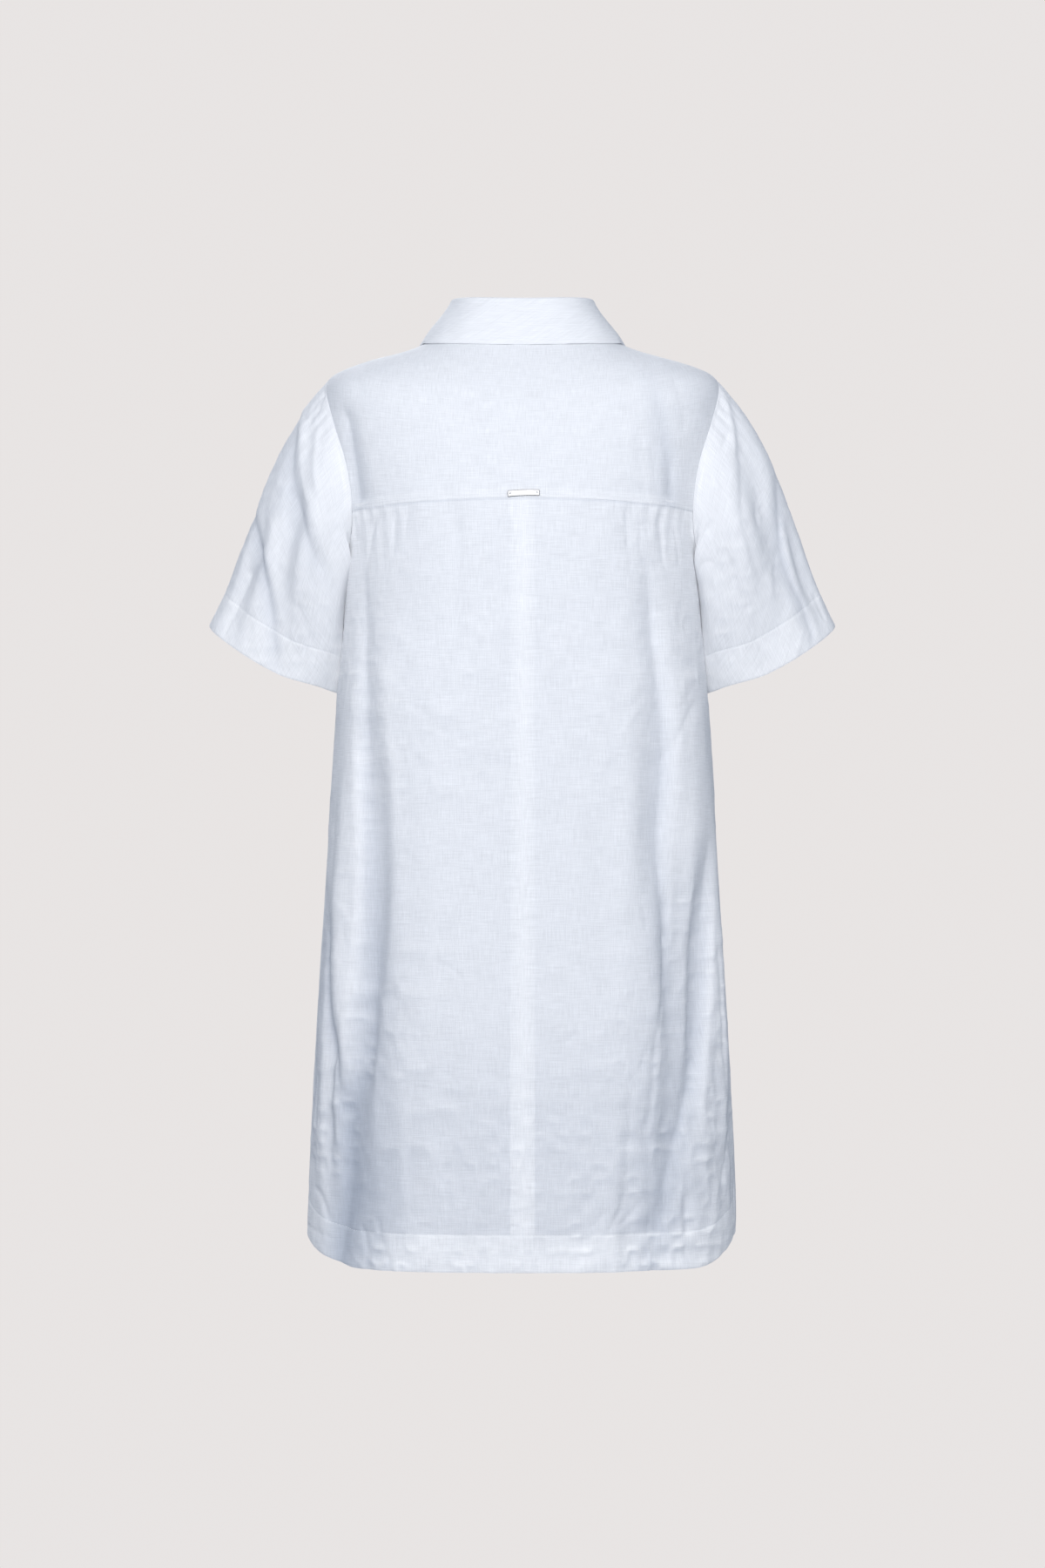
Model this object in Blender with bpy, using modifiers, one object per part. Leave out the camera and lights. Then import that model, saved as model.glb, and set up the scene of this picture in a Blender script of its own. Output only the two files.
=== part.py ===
# Short linen shirt dress with a back yoke, kept in its worn form with nobody in it.
# Metres, +Z up, the front faces -Y and the wearer's left is +X. The origin is between the
# shoulders, level with the shoulder line at the neck, where the wearer holds it up.

import math

import bmesh
import bpy
import numpy as np
from mathutils import Matrix, Vector

# Cloth and seams
WALL = 0.0012
GAP = 0.0003
HEM_LAYER = 0.0007
HEM_DEPTH = 0.036
SLEEVE_HEM_DEPTH = 0.037
HEM_STEP = 0.002

# Levels run up the cloth: below 0 they are metres under the underarm,
# and above 0 they are metres from the underarm over the shoulder to the neck
UNDERARM_Z = -0.250
TIP_LEVEL = 0.220
NECK_LEVEL = 0.340
YOKE_CENTRE_LEVEL = 0.093
YOKE_DROP = 0.015

# Hem: flat in the middle, rising in a curve to the side
HEM_Z = -0.885
HEM_SIDE_RISE = 0.031
HEM_CURVE_ANGLE = 44.0
HEM_CURVE_POWER = 1.6

# Seams, in degrees round the body from the side towards the back
SIDE_SEAM_TOP = 2.0
SIDE_SEAM_HEM = 14.0
SHOULDER_SEAM = 4.0
ARMHOLE_BACK = 29.0
ARMHOLE_FRONT = 38.0
ARMHOLE_FULLNESS = 0.65

# How square the sections of the body are; 2 is an ellipse
SQUARENESS = 2.35

# The body's sections from hem to neck: the level, the heights at side, back and front,
# and the half width and the depths behind and before the shoulder line
SECTION_COLUMNS = (
    "level", "side_z", "back_z", "front_z", "half_width", "back_depth", "front_depth")
SECTIONS = (
    (-0.680, -0.930, -0.930, -0.930, 0.2076, 0.1375, 0.1450),
    (-0.600, -0.850, -0.850, -0.850, 0.2072, 0.1370, 0.1445),
    (-0.474, -0.724, -0.724, -0.724, 0.2020, 0.1340, 0.1430),
    (-0.250, -0.500, -0.500, -0.500, 0.1885, 0.1290, 0.1400),
    (-0.102, -0.352, -0.352, -0.352, 0.1800, 0.1260, 0.1380),
    (-0.050, -0.300, -0.300, -0.300, 0.1755, 0.1250, 0.1370),
    (0.000, -0.250, -0.250, -0.250, 0.1742, 0.1240, 0.1340),
    (0.060, -0.190, -0.190, -0.205, 0.1770, 0.1225, 0.1290),
    (0.120, -0.130, -0.136, -0.165, 0.1880, 0.1180, 0.1200),
    (0.180, -0.073, -0.092, -0.132, 0.1930, 0.1100, 0.1080),
    (0.220, -0.038, -0.064, -0.110, 0.1885, 0.1010, 0.0970),
    (0.260, -0.021, -0.040, -0.092, 0.1550, 0.0880, 0.0860),
    (0.300, -0.0095, -0.018, -0.076, 0.1120, 0.0730, 0.0760),
    (0.340, 0.009, 0.004, -0.060, 0.0690, 0.0560, 0.0660),
)

# Long folds of the skirt: the side (1 is the wearer's left), the height it is deepest at,
# how far it reaches up and down from there, half its width, its depth (under 0 is a
# trough), and the angles round the body at its top, middle and foot
FOLD_COLUMNS = (
    "side", "middle_z", "reach_up", "reach_down", "half_width", "depth",
    "angle_top", "angle_middle", "angle_foot")
FOLDS = (
    (1, -0.520, 0.340, 0.390, 0.013, -0.0075, 38.0, 47.0, 38.0),
    (1, -0.560, 0.260, 0.170, 0.014, 0.0050, 33.0, 32.0, 36.0),
    (1, -0.700, 0.170, 0.190, 0.009, -0.0050, 22.0, 29.0, 35.0),
    (1, -0.600, 0.350, 0.300, 0.022, 0.0030, 66.0, 64.0, 62.0),
    (-1, -0.420, 0.240, 0.240, 0.016, -0.0060, 50.0, 51.0, 57.0),
    (-1, -0.600, 0.270, 0.280, 0.013, -0.0060, 41.0, 46.0, 52.0),
    (-1, -0.600, 0.130, 0.270, 0.012, -0.0060, 30.0, 36.0, 45.0),
    (-1, -0.850, 0.140, 0.080, 0.010, -0.0055, 60.0, 62.0, 60.0),
    (-1, -0.640, 0.240, 0.260, 0.014, 0.0050, 20.0, 24.0, 26.0),
    (1, -0.560, 0.300, 0.360, 0.016, -0.0070, -40.0, -46.0, -42.0),
    (1, -0.620, 0.300, 0.300, 0.014, 0.0050, -30.0, -30.0, -28.0),
    (1, -0.700, 0.260, 0.200, 0.018, -0.0045, -58.0, -62.0, -66.0),
    (-1, -0.520, 0.260, 0.390, 0.015, -0.0070, -38.0, -43.0, -48.0),
    (-1, -0.640, 0.300, 0.280, 0.014, 0.0050, -28.0, -27.0, -30.0),
    (-1, -0.660, 0.280, 0.250, 0.018, -0.0045, -60.0, -57.0, -64.0),
)

# Gathers under the yoke: the side, the angle round the body, the length, half the width
# and the depth of each little trough
GATHER_COLUMNS = ("side", "angle", "length", "half_width", "depth")
GATHERS = (
    (1, 34.5, 0.040, 0.0042, -0.0024),
    (1, 39.0, 0.110, 0.0050, -0.0036),
    (1, 44.0, 0.080, 0.0050, -0.0032),
    (1, 49.5, 0.060, 0.0052, -0.0026),
    (1, 55.0, 0.050, 0.0052, -0.0022),
    (1, 69.0, 0.090, 0.0065, -0.0018),
    (1, 77.0, 0.050, 0.0060, -0.0014),
    (-1, 35.5, 0.040, 0.0042, -0.0024),
    (-1, 40.5, 0.080, 0.0050, -0.0032),
    (-1, 45.5, 0.090, 0.0050, -0.0034),
    (-1, 51.0, 0.070, 0.0052, -0.0026),
    (-1, 56.5, 0.100, 0.0055, -0.0030),
    (-1, 70.0, 0.060, 0.0065, -0.0014),
)

# Sleeves: the middle of the open end, how the sleeve leans, and the half sizes there
SLEEVE_END = (0.2440, -0.020, -0.3075)
SLEEVE_LEAN = 29.0
SLEEVE_FORWARD = 11.0
SLEEVE_END_HALF_WIDTH = 0.0700
SLEEVE_END_HALF_DEPTH = 0.0520
SLEEVE_END_SQUARENESS = 1.8
CAP_WAY = (0.71, 0.20, -0.70)

# Long folds of the sleeves: side, the turn round the sleeve (0 is the shoulder tip,
# 0.25 the back, 0.5 the underarm, 0.75 the front) at cap and cuff, where along the
# sleeve the fold starts, is deepest and ends, half its width in turns, and its depth
SLEEVE_FOLD_COLUMNS = (
    "side", "turn_cap", "turn_cuff", "start", "deepest", "end", "half_turn", "depth")
SLEEVE_FOLDS = (
    (1, 0.100, 0.270, 0.02, 0.50, 0.90, 0.032, -0.0065),
    (1, 0.180, 0.340, 0.02, 0.45, 0.98, 0.036, 0.0040),
    (1, 0.030, 0.130, 0.35, 0.75, 1.06, 0.026, -0.0055),
    (1, 0.900, 0.780, 0.02, 0.50, 1.00, 0.034, -0.0060),
    (1, 0.820, 0.690, 0.05, 0.55, 1.00, 0.036, 0.0040),
    (-1, 0.080, 0.190, 0.02, 0.50, 0.92, 0.032, -0.0065),
    (-1, 0.170, 0.310, 0.02, 0.40, 0.92, 0.038, 0.0045),
    (-1, 0.030, 0.095, 0.35, 0.75, 1.06, 0.024, -0.0055),
    (-1, 0.910, 0.800, 0.02, 0.50, 1.00, 0.034, -0.0060),
    (-1, 0.830, 0.710, 0.05, 0.55, 1.00, 0.036, 0.0040),
)

# Collar: a stand round the neck, and a fall that rolls over it and comes down
COLLAR_WALL = 0.0014
STAND_HEIGHT_BACK = 0.0285
STAND_HEIGHT_FRONT = 0.0260
STAND_LEAN = 0.0030
ROLL_RADIUS = 0.0028
ROLL_END = 20.0
COLLAR_END_X = 0.0020
COLLAR_POINT_X = 0.0340
# The fall's lower edge: the angle round the neck, its level on the cloth beneath, and
# how far its under side stands off that cloth
FALL_EDGE_COLUMNS = ("angle", "level", "clear")
FALL_EDGE = (
    (-90.0, 0.246, 0.0014),
    (-78.0, 0.246, 0.0014),
    (-55.0, 0.270, 0.0016),
    (-25.0, 0.298, 0.0014),
    (0.0, 0.3125, 0.0013),
    (30.0, 0.3120, 0.0020),
    (60.0, 0.3125, 0.0022),
    (90.0, 0.3130, 0.0024),
)

# Front opening: the right side laps over the left and is buttoned
BAND_HALF_WIDTH = 0.015
LAP_LIFT = 0.0022
LAP_RAMP = 0.030
BUTTON_RADIUS = 0.0056
BUTTON_THICKNESS = 0.0022
BUTTON_DISH = 0.0005
BUTTON_SIDES = 16
BUTTON_LIFT = 0.0005
BUTTON_HEIGHTS = (-0.100, -0.190, -0.282, -0.374, -0.466, -0.558, -0.650, -0.742)

# Bare metal plate on the yoke
PLATE_LENGTH = 0.0300
PLATE_HEIGHT = 0.0058
PLATE_THICKNESS = 0.0009
PLATE_ARCH = 0.0006
PLATE_HOLE_RADIUS = 0.0007
PLATE_HOLE_INSET = 0.0024
PLATE_CENTRE = (-0.0010, 0.0975)
PLATE_TILT = 2.0

WHITE_LINEN = (0.90, 0.92, 0.95, 1.0)
WHITE_BUTTON = (0.92, 0.92, 0.90, 1.0)
SILVER = (0.80, 0.80, 0.80, 1.0)

UP = np.array([0.0, 0.0, 1.0])
MIRROR = np.array([-1.0, 1.0, 1.0])


def soft_step(value):
    """0 below 0, 1 above 1, and a smooth rise between."""
    value = np.clip(value, 0.0, 1.0)
    return value * value * (3.0 - 2.0 * value)


def bump(distance, half_width):
    """A smooth hill, 1 where the distance is 0, gone at twice the half width."""
    reach = np.clip(np.abs(distance) / (2.0 * half_width), 0.0, 1.0)
    return 0.5 + 0.5 * np.cos(np.pi * reach)


def unit(vectors):
    return vectors / np.linalg.norm(vectors, axis=-1, keepdims=True)


def rows_of(columns, table):
    """The rows of a table as dictionaries."""
    return [dict(zip(columns, row)) for row in table]


def column_of(name, columns, table):
    return np.array([row[columns.index(name)] for row in table])


def smooth_between(knots, values, at):
    """A smooth curve through the values at the knots."""
    slopes = np.gradient(values, knots)
    at = np.clip(np.asarray(at, float), knots[0], knots[-1])
    index = np.clip(np.searchsorted(knots, at) - 1, 0, len(knots) - 2)
    span = knots[index + 1] - knots[index]
    part = (at - knots[index]) / span
    hill = span * part * (1.0 - part)
    return (
        values[index]
        + (values[index + 1] - values[index]) * part * part * (3.0 - 2.0 * part)
        + hill * (slopes[index] * (1.0 - part) - slopes[index + 1] * part)
    )


def section(column, level):
    """A column of the section table at any level."""
    knots = column_of("level", SECTION_COLUMNS, SECTIONS)
    return smooth_between(knots, column_of(column, SECTION_COLUMNS, SECTIONS), level)


def hem_level(angle):
    """The level of the hem: flat in the middle, and risen in a curve at the sides."""
    part = np.clip(np.abs(np.asarray(angle, float)) / HEM_CURVE_ANGLE, 0.0, 1.0)
    rise = HEM_SIDE_RISE * np.clip(np.cos(0.5 * np.pi * part), 0.0, 1.0) ** HEM_CURVE_POWER
    return HEM_Z - UNDERARM_Z + rise


def yoke_level(angle):
    """The level of the yoke seam, which drops a little towards the armholes."""
    return YOKE_CENTRE_LEVEL - YOKE_DROP * np.cos(np.radians(angle)) ** 2


def neck_level(angle):
    return NECK_LEVEL + 0.0 * np.asarray(angle, float)


def edge_angle(level, back):
    """The angle of a panel's outer edge: side seam, armhole, then shoulder seam."""
    level = np.asarray(level, float)
    seam = SIDE_SEAM_TOP + (SIDE_SEAM_HEM - SIDE_SEAM_TOP) * np.clip(-level / 0.60, 0.0, 1.0)
    part = np.clip(level / TIP_LEVEL, 0.0, 1.0)
    base = SIDE_SEAM_TOP + (SHOULDER_SEAM - SIDE_SEAM_TOP) * part
    reach = ARMHOLE_BACK if back else -ARMHOLE_FRONT
    armhole = base + reach * np.clip(np.sin(np.pi * part), 0.0, 1.0) ** ARMHOLE_FULLNESS
    return np.where(level <= 0, seam, np.where(level >= TIP_LEVEL, SHOULDER_SEAM, armhole))


def yoke_end_level():
    """The level where the yoke seam meets the armhole."""
    level = YOKE_CENTRE_LEVEL
    for _ in range(30):
        level = float(yoke_level(edge_angle(level, True)))
    return level


def seam_hold(angle, level):
    """0 on the armhole, which holds the cloth still, and 1 a little way from it."""
    edge = np.where(angle > 0, edge_angle(level, True), edge_angle(level, False))
    distance = np.radians(np.abs(angle - edge)) * section("half_width", level)
    above = soft_step((level + 0.040) / 0.040)
    return 1.0 - above * (1.0 - soft_step(distance / 0.016))


def skirt_folds(side, angle, level, height):
    """How far the long folds move the cloth outwards."""
    moved = np.zeros(angle.shape)
    radius = section("half_width", level)
    for fold in rows_of(FOLD_COLUMNS, FOLDS):
        if fold["side"] != side:
            continue
        up = (height - fold["middle_z"]) / fold["reach_up"]
        down = (fold["middle_z"] - height) / fold["reach_down"]
        top, middle, foot = fold["angle_top"], fold["angle_middle"], fold["angle_foot"]
        above = middle + (top - middle) * soft_step(up)
        below = middle + (foot - middle) * soft_step(down)
        line = np.where(up > 0, above, below)
        fade = 1.0 - soft_step(np.maximum(up, down))
        distance = np.radians(angle - line) * radius
        moved = moved + fold["depth"] * fade * bump(distance, fold["half_width"])
    return moved


def gathers(side, angle, level):
    """The little troughs that hang from the yoke seam and fade below it."""
    moved = np.zeros(angle.shape)
    radius = section("half_width", level)
    below = yoke_level(angle) - level
    for gather in rows_of(GATHER_COLUMNS, GATHERS):
        if gather["side"] != side:
            continue
        distance = np.radians(angle - gather["angle"]) * radius
        fade = (1.0 - soft_step(below / gather["length"])) * (below > -1e-3)
        moved = moved + gather["depth"] * fade * bump(distance, gather["half_width"])
    return moved


def body_point(side, angle, level, folded=True):
    """A point of the body's cloth. The angle is in degrees from the side, 90 at the
    centre back and -90 at the centre front; side is 1 on the wearer's left."""
    angle, level = np.broadcast_arrays(np.asarray(angle, float), np.asarray(level, float))
    cosine, sine = np.cos(np.radians(angle)), np.sin(np.radians(angle))
    behind = sine > 0
    power = SQUARENESS
    square = (np.abs(cosine) ** power + np.abs(sine) ** power) ** (-1.0 / power)
    depth = np.where(behind, section("back_depth", level), section("front_depth", level))
    end_z = np.where(behind, section("back_z", level), section("front_z", level))
    half_width = section("half_width", level)
    height = section("side_z", level) * cosine**2 + end_z * sine**2
    if folded:
        moved = skirt_folds(side, angle, level, height) + gathers(side, angle, level)
        moved = moved * seam_hold(angle, level)
        half_width = half_width + moved
        depth = depth + moved
    return np.stack(
        [side * half_width * square * cosine, depth * square * sine, height], axis=-1)


def body_normal(side, angle, level, folded=True):
    """The outward direction of the cloth, from points a little way off."""
    low = np.maximum(np.asarray(level, float) - 0.0015, SECTIONS[0][0])
    high = np.minimum(np.asarray(level, float) + 0.0015, NECK_LEVEL)
    ahead = body_point(side, np.asarray(angle) + 0.4, level, folded)
    behind = body_point(side, np.asarray(angle) - 0.4, level, folded)
    up = body_point(side, angle, high, folded) - body_point(side, angle, low, folded)
    return unit(np.cross(ahead - behind, up) * side)


def lap_lift(side, point):
    """How far the right front is lifted, to lie over the left front's edge."""
    ramp = soft_step((point[..., 0] + BAND_HALF_WIDTH + LAP_RAMP) / LAP_RAMP)
    return LAP_LIFT * ramp * (side < 0) * (point[..., 1] < 0)


def steps_of(*stretches):
    """Joins stretches of even steps, each (low, high, number of steps), into one list."""
    joined = [stretches[0][0]]
    for low, high, count in stretches:
        joined.extend(np.linspace(low, high, count + 1)[1:])
    return np.array(joined)


def take_in(outer, inner, low=True, high=True, first=True, last=True):
    """Draws the edges of a wall in by half of the seam gap, along the cloth."""
    def pulled(edge, beside):
        return edge + unit(beside - edge) * (GAP / 2)

    for grid in (outer, inner):
        if low:
            grid[0] = pulled(grid[0], grid[1])
        if high:
            grid[-1] = pulled(grid[-1], grid[-2])
        if first:
            grid[:, 0] = pulled(grid[:, 0], grid[:, 1])
        if last:
            grid[:, -1] = pulled(grid[:, -1], grid[:, -2])
    return outer, inner


def wall_mesh(name, outer, inner, closed_round=False):
    """A closed wall of cloth from its outer and inner points, in rows and columns."""
    rows, columns = outer.shape[:2]
    mesh = bmesh.new()
    out, within = [
        [[mesh.verts.new(point) for point in row] for row in grid] for grid in (outer, inner)]
    spans = columns if closed_round else columns - 1
    for r in range(rows - 1):
        for c in range(spans):
            n = (c + 1) % columns
            mesh.faces.new((out[r][c], out[r][n], out[r + 1][n], out[r + 1][c]))
            mesh.faces.new((within[r][c], within[r + 1][c], within[r + 1][n], within[r][n]))
    for c in range(spans):
        n = (c + 1) % columns
        mesh.faces.new((out[0][c], within[0][c], within[0][n], out[0][n]))
        mesh.faces.new((out[-1][c], out[-1][n], within[-1][n], within[-1][c]))
    if not closed_round:
        for r in range(rows - 1):
            mesh.faces.new((out[r][0], out[r + 1][0], within[r + 1][0], within[r][0]))
            mesh.faces.new((out[r][-1], within[r][-1], within[r + 1][-1], out[r + 1][-1]))
    return finished(name, mesh)


def finished(name, mesh):
    """A mesh made of a closed surface, facing out."""
    bmesh.ops.recalc_face_normals(mesh, faces=mesh.faces)
    if mesh.calc_volume(signed=True) < 0:
        bmesh.ops.reverse_faces(mesh, faces=mesh.faces)
    data = bpy.data.meshes.new(name)
    mesh.to_mesh(data)
    mesh.free()
    data.shade_smooth()
    data.set_sharp_from_angle(angle=math.radians(50))
    return data


def armhole_steps():
    """The levels of the armhole's points, which the panels and the sleeve share."""
    end = yoke_end_level()
    lower = [0.0, 0.003, 0.010, 0.021, 0.034, 0.049, 0.065, end]
    upper = [end, 0.100, 0.120, 0.141, 0.162, 0.182, 0.199, 0.212, TIP_LEVEL]
    return lower, upper


def side_seam_steps():
    """The levels of the side seam's points, which front and back share."""
    low = float(hem_level(edge_angle(-0.6, True)))
    top = low + HEM_DEPTH
    return steps_of(
        (low, top, 2), (top, top + HEM_STEP, 1), (top + HEM_STEP, -0.045, 11), (-0.045, 0.0, 2))


def panel_walls(side, columns, levels, back, low_of, high_of, centre_of, folded=True):
    """The outer and inner points of a body panel. The columns run from 0 at the centre
    to 1 at the outer edge, and the levels are those of the outer edge."""
    rows = (levels - levels[0]) / (levels[-1] - levels[0])
    foot = centre_of(levels[0])
    foot_angles = foot + (float(edge_angle(levels[0], back)) - foot) * columns
    head = centre_of(levels[-1])
    head_angles = head + (float(edge_angle(levels[-1], back)) - head) * columns
    low, high = low_of(foot_angles), high_of(head_angles)
    outer, inner = [], []
    for row, edge_level in zip(rows, levels):
        level = low + (high - low) * row
        centre = centre_of(level[0])
        angle = centre + (float(edge_angle(edge_level, back)) - centre) * columns
        point = body_point(side, angle, level, folded)
        normal = body_normal(side, angle, level, folded)
        hem = np.where(level - low_of(angle) < HEM_DEPTH + 1e-4, HEM_LAYER, 0.0)
        hem = hem if low_of is hem_level else 0.0 * hem
        lift = lap_lift(side, point)
        outer.append(point + normal * lift[:, None])
        inner.append(point + normal * (lift - WALL - hem)[:, None])
    return np.array(outer), np.array(inner)


def back_panel(side):
    """Half of the back, from the centre seam to the side seam and armhole."""
    lower, _ = armhole_steps()
    columns = steps_of((0.0, 0.34, 5), (0.34, 0.86, 14), (0.86, 1.0, 3))
    levels = np.concatenate([side_seam_steps(), lower[1:]])
    walls = panel_walls(side, columns, levels, True, hem_level, yoke_level, lambda level: 90.0)
    return take_in(*walls, low=False)


def yoke_panel():
    """The yoke, in one piece from armhole to armhole, up to the neck."""
    _, upper = armhole_steps()
    columns = steps_of((0.0, 1.0, 12))
    levels = np.array([*upper, 0.238, 0.258, 0.278, 0.298, 0.318, NECK_LEVEL])
    halves = []
    for side in (1, -1):
        walls = panel_walls(
            side, columns, levels, True, yoke_level, neck_level, lambda level: 90.0, False)
        halves.append(walls)
    joined = [
        np.concatenate([left[:, ::-1], right[:, 1:]], axis=1)
        for left, right in zip(halves[0], halves[1])]
    return take_in(*joined)


def band_edge_angle(level):
    """The angle of a front panel's free edge, a little past the centre front."""
    half_width = float(section("half_width", level))
    return -90.0 - math.degrees(math.asin(BAND_HALF_WIDTH / half_width))


def front_panel(side):
    """A front, from its free edge past the centre to side seam, armhole and shoulder."""
    lower, upper = armhole_steps()
    columns = steps_of((0.0, 0.14, 2), (0.14, 0.38, 3), (0.38, 0.88, 10), (0.88, 1.0, 2))
    shoulder = [0.246, 0.272, 0.298, 0.320, NECK_LEVEL]
    levels = np.concatenate([side_seam_steps(), lower[1:], upper[1:], shoulder])
    walls = panel_walls(side, columns, levels, False, hem_level, neck_level, band_edge_angle)
    return take_in(*walls, low=False, first=False)


def armhole_table(back):
    """Levels round half the armhole, and how far along it each one is, from 0 to 1."""
    levels = TIP_LEVEL * (0.5 - 0.5 * np.cos(np.linspace(0.0, np.pi, 241)))
    points = body_point(1, edge_angle(levels, back), levels, folded=False)
    steps = np.linalg.norm(np.diff(points, axis=0), axis=-1)
    length = np.concatenate([[0.0], np.cumsum(steps)])
    return levels, length / length[-1]


ARMHOLE_TABLES = {back: armhole_table(back) for back in (True, False)}


def armhole_turn(level, back):
    """The place round the sleeve of a point of the armhole."""
    part = np.interp(level, *ARMHOLE_TABLES[back])
    return 0.5 * (1.0 - part) if back else 0.5 * (1.0 + part)


def armhole_at(turn):
    """The armhole's point and the body's outward direction at a place round the sleeve."""
    turn = np.mod(turn, 1.0)
    back = turn <= 0.5
    along_back = np.interp(1.0 - 2.0 * turn, *ARMHOLE_TABLES[True][::-1])
    along_front = np.interp(2.0 * turn - 1.0, *ARMHOLE_TABLES[False][::-1])
    level = np.where(back, along_back, along_front)
    angle = np.where(back, edge_angle(level, True), edge_angle(level, False))
    return body_point(1, angle, level, folded=False), body_normal(1, angle, level, folded=False)


def sleeve_frame():
    """Unit vectors across the open end, through its depth, and along the sleeve."""
    lean, forward = math.radians(SLEEVE_LEAN), math.radians(SLEEVE_FORWARD)
    across = np.array([math.cos(lean), 0.0, math.sin(lean)])
    way = np.array([
        math.sin(lean) * math.cos(forward), -math.sin(forward),
        -math.cos(lean) * math.cos(forward)])
    return across, np.cross(across, way), way


def sleeve_base(turn, along):
    """A point of the left sleeve without its folds."""
    turn, along = np.broadcast_arrays(np.asarray(turn, float), np.asarray(along, float))
    start, _ = armhole_at(turn)
    across, depth, way = sleeve_frame()
    cosine, sine = np.cos(2 * np.pi * turn), np.sin(2 * np.pi * turn)
    power = SLEEVE_END_SQUARENESS
    square = (np.abs(cosine) ** power + np.abs(sine) ** power) ** (-1.0 / power)
    end = (
        np.array(SLEEVE_END)
        + across * (SLEEVE_END_HALF_WIDTH * square * cosine)[..., None]
        + depth * (SLEEVE_END_HALF_DEPTH * square * sine)[..., None]
    )
    cap = np.stack(
        [CAP_WAY[0] + 0.0 * sine, CAP_WAY[1] * sine, CAP_WAY[2] + 0.0 * sine], axis=-1)
    chord = np.linalg.norm(end - start, axis=-1, keepdims=True)
    a = along[..., None]
    return (
        start * (2 * a**3 - 3 * a**2 + 1)
        + unit(cap) * chord * (a**3 - 2 * a**2 + a)
        + end * (3 * a**2 - 2 * a**3)
        + way * chord * (a**3 - a**2)
    )


def sleeve_slope(point_at, turn, along):
    """The outward direction of a sleeve's surface, from points a little way off."""
    low, high = np.maximum(along - 0.006, 0.0), np.minimum(along + 0.006, 1.0)
    ahead = point_at(turn + 0.003, along) - point_at(turn - 0.003, along)
    down = point_at(turn, high) - point_at(turn, low)
    return unit(np.cross(down, ahead))


def sleeve_fold(side, turn, along):
    """How far a sleeve's folds move its cloth outwards."""
    moved = np.zeros(turn.shape)
    for fold in rows_of(SLEEVE_FOLD_COLUMNS, SLEEVE_FOLDS):
        if fold["side"] != side:
            continue
        rise = soft_step((along - fold["start"]) / (fold["deepest"] - fold["start"]))
        fall = 1.0 - soft_step((along - fold["deepest"]) / (fold["end"] - fold["deepest"]))
        line = fold["turn_cap"] + (fold["turn_cuff"] - fold["turn_cap"]) * along
        distance = np.mod(turn - line + 0.5, 1.0) - 0.5
        moved = moved + fold["depth"] * rise * fall * bump(distance, fold["half_turn"])
    return moved


def sleeve_point(side, turn, along):
    """A point of a sleeve with its folds, as if on the left."""
    turn, along = np.broadcast_arrays(np.asarray(turn, float), np.asarray(along, float))
    away = sleeve_slope(sleeve_base, turn, along)
    return sleeve_base(turn, along) + away * sleeve_fold(side, turn, along)[..., None]


def sleeve_walls(side):
    """The outer and inner points of a sleeve, from the armhole to its open end."""
    lower, upper = armhole_steps()
    levels = np.array([*lower, *upper[1:]])
    back = armhole_turn(levels[::-1], True)
    front = armhole_turn(levels[1:-1], False)
    turns = np.concatenate([back, front])
    length = np.linalg.norm(sleeve_base(turns, 1.0) - sleeve_base(turns, 0.0), axis=-1)
    hem = 1.0 - SLEEVE_HEM_DEPTH / length
    step = HEM_STEP / length
    outer, inner = [], []
    for part in steps_of((0.0, 1.0, 9)):
        outer.append((hem - step) * part)
        inner.append(0.0)
    for part in steps_of((0.0, 1.0, 3)):
        outer.append(hem + (1.0 - hem) * part)
        inner.append(HEM_LAYER)
    places, layers = np.array(outer), np.array(inner)
    turn = np.broadcast_to(turns, places.shape)
    point = sleeve_point(side, turn, places)
    normal = sleeve_slope(lambda t, a: sleeve_point(side, t, a), turn, places)
    _, body = armhole_at(turns)
    agree = soft_step((np.sum(normal[0] * body, axis=-1) + 0.1) / 0.6)[:, None]
    normal[0] = unit(body * agree + normal[0] * (1.0 - agree))
    outer = point
    inner = point - normal * (WALL + layers)[:, None, None]
    outer, inner = take_in(outer, inner, high=False, first=False, last=False)
    if side < 0:
        outer, inner = outer * MIRROR, inner * MIRROR
    return outer, inner


def neck_ring(turn):
    """The neck edge at a turn in degrees: 0 the left, 90 the back, 180 the right, and
    -90 or 270 the front. It gives the point, the level way out, and the way up."""
    turn = np.asarray(turn, float)

    def edge(at):
        left = at <= 90.0
        side = np.where(left, 1, -1)
        angle = np.where(left, at, 180.0 - at)
        point = body_point(1, angle, NECK_LEVEL, folded=False)
        normal = body_normal(1, angle, NECK_LEVEL, folded=False)
        flip = np.stack([side, np.ones_like(side), np.ones_like(side)], axis=-1)
        point, normal = point * flip, normal * flip
        lift = np.where(left, 0.0, lap_lift(-1, point))
        return point + normal * lift[..., None]

    tangent = unit(edge(turn + 0.5) - edge(turn - 0.5))
    out = unit(np.cross(tangent, UP))
    up = unit(UP - 0.6 * tangent * tangent[..., 2:3])
    return edge(turn), out, up


def stand_height(turn):
    part = 0.5 + 0.5 * np.sin(np.radians(turn))
    return STAND_HEIGHT_FRONT + (STAND_HEIGHT_BACK - STAND_HEIGHT_FRONT) * part


def stand_point(turn, part):
    """A point of the stand's outer face; part runs from 0 at the neck to 1 at its top."""
    point, out, up = neck_ring(turn)
    height = GAP + stand_height(turn) * part
    return point + up * np.asarray(height)[..., None] - out * STAND_LEAN * np.asarray(part)


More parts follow.
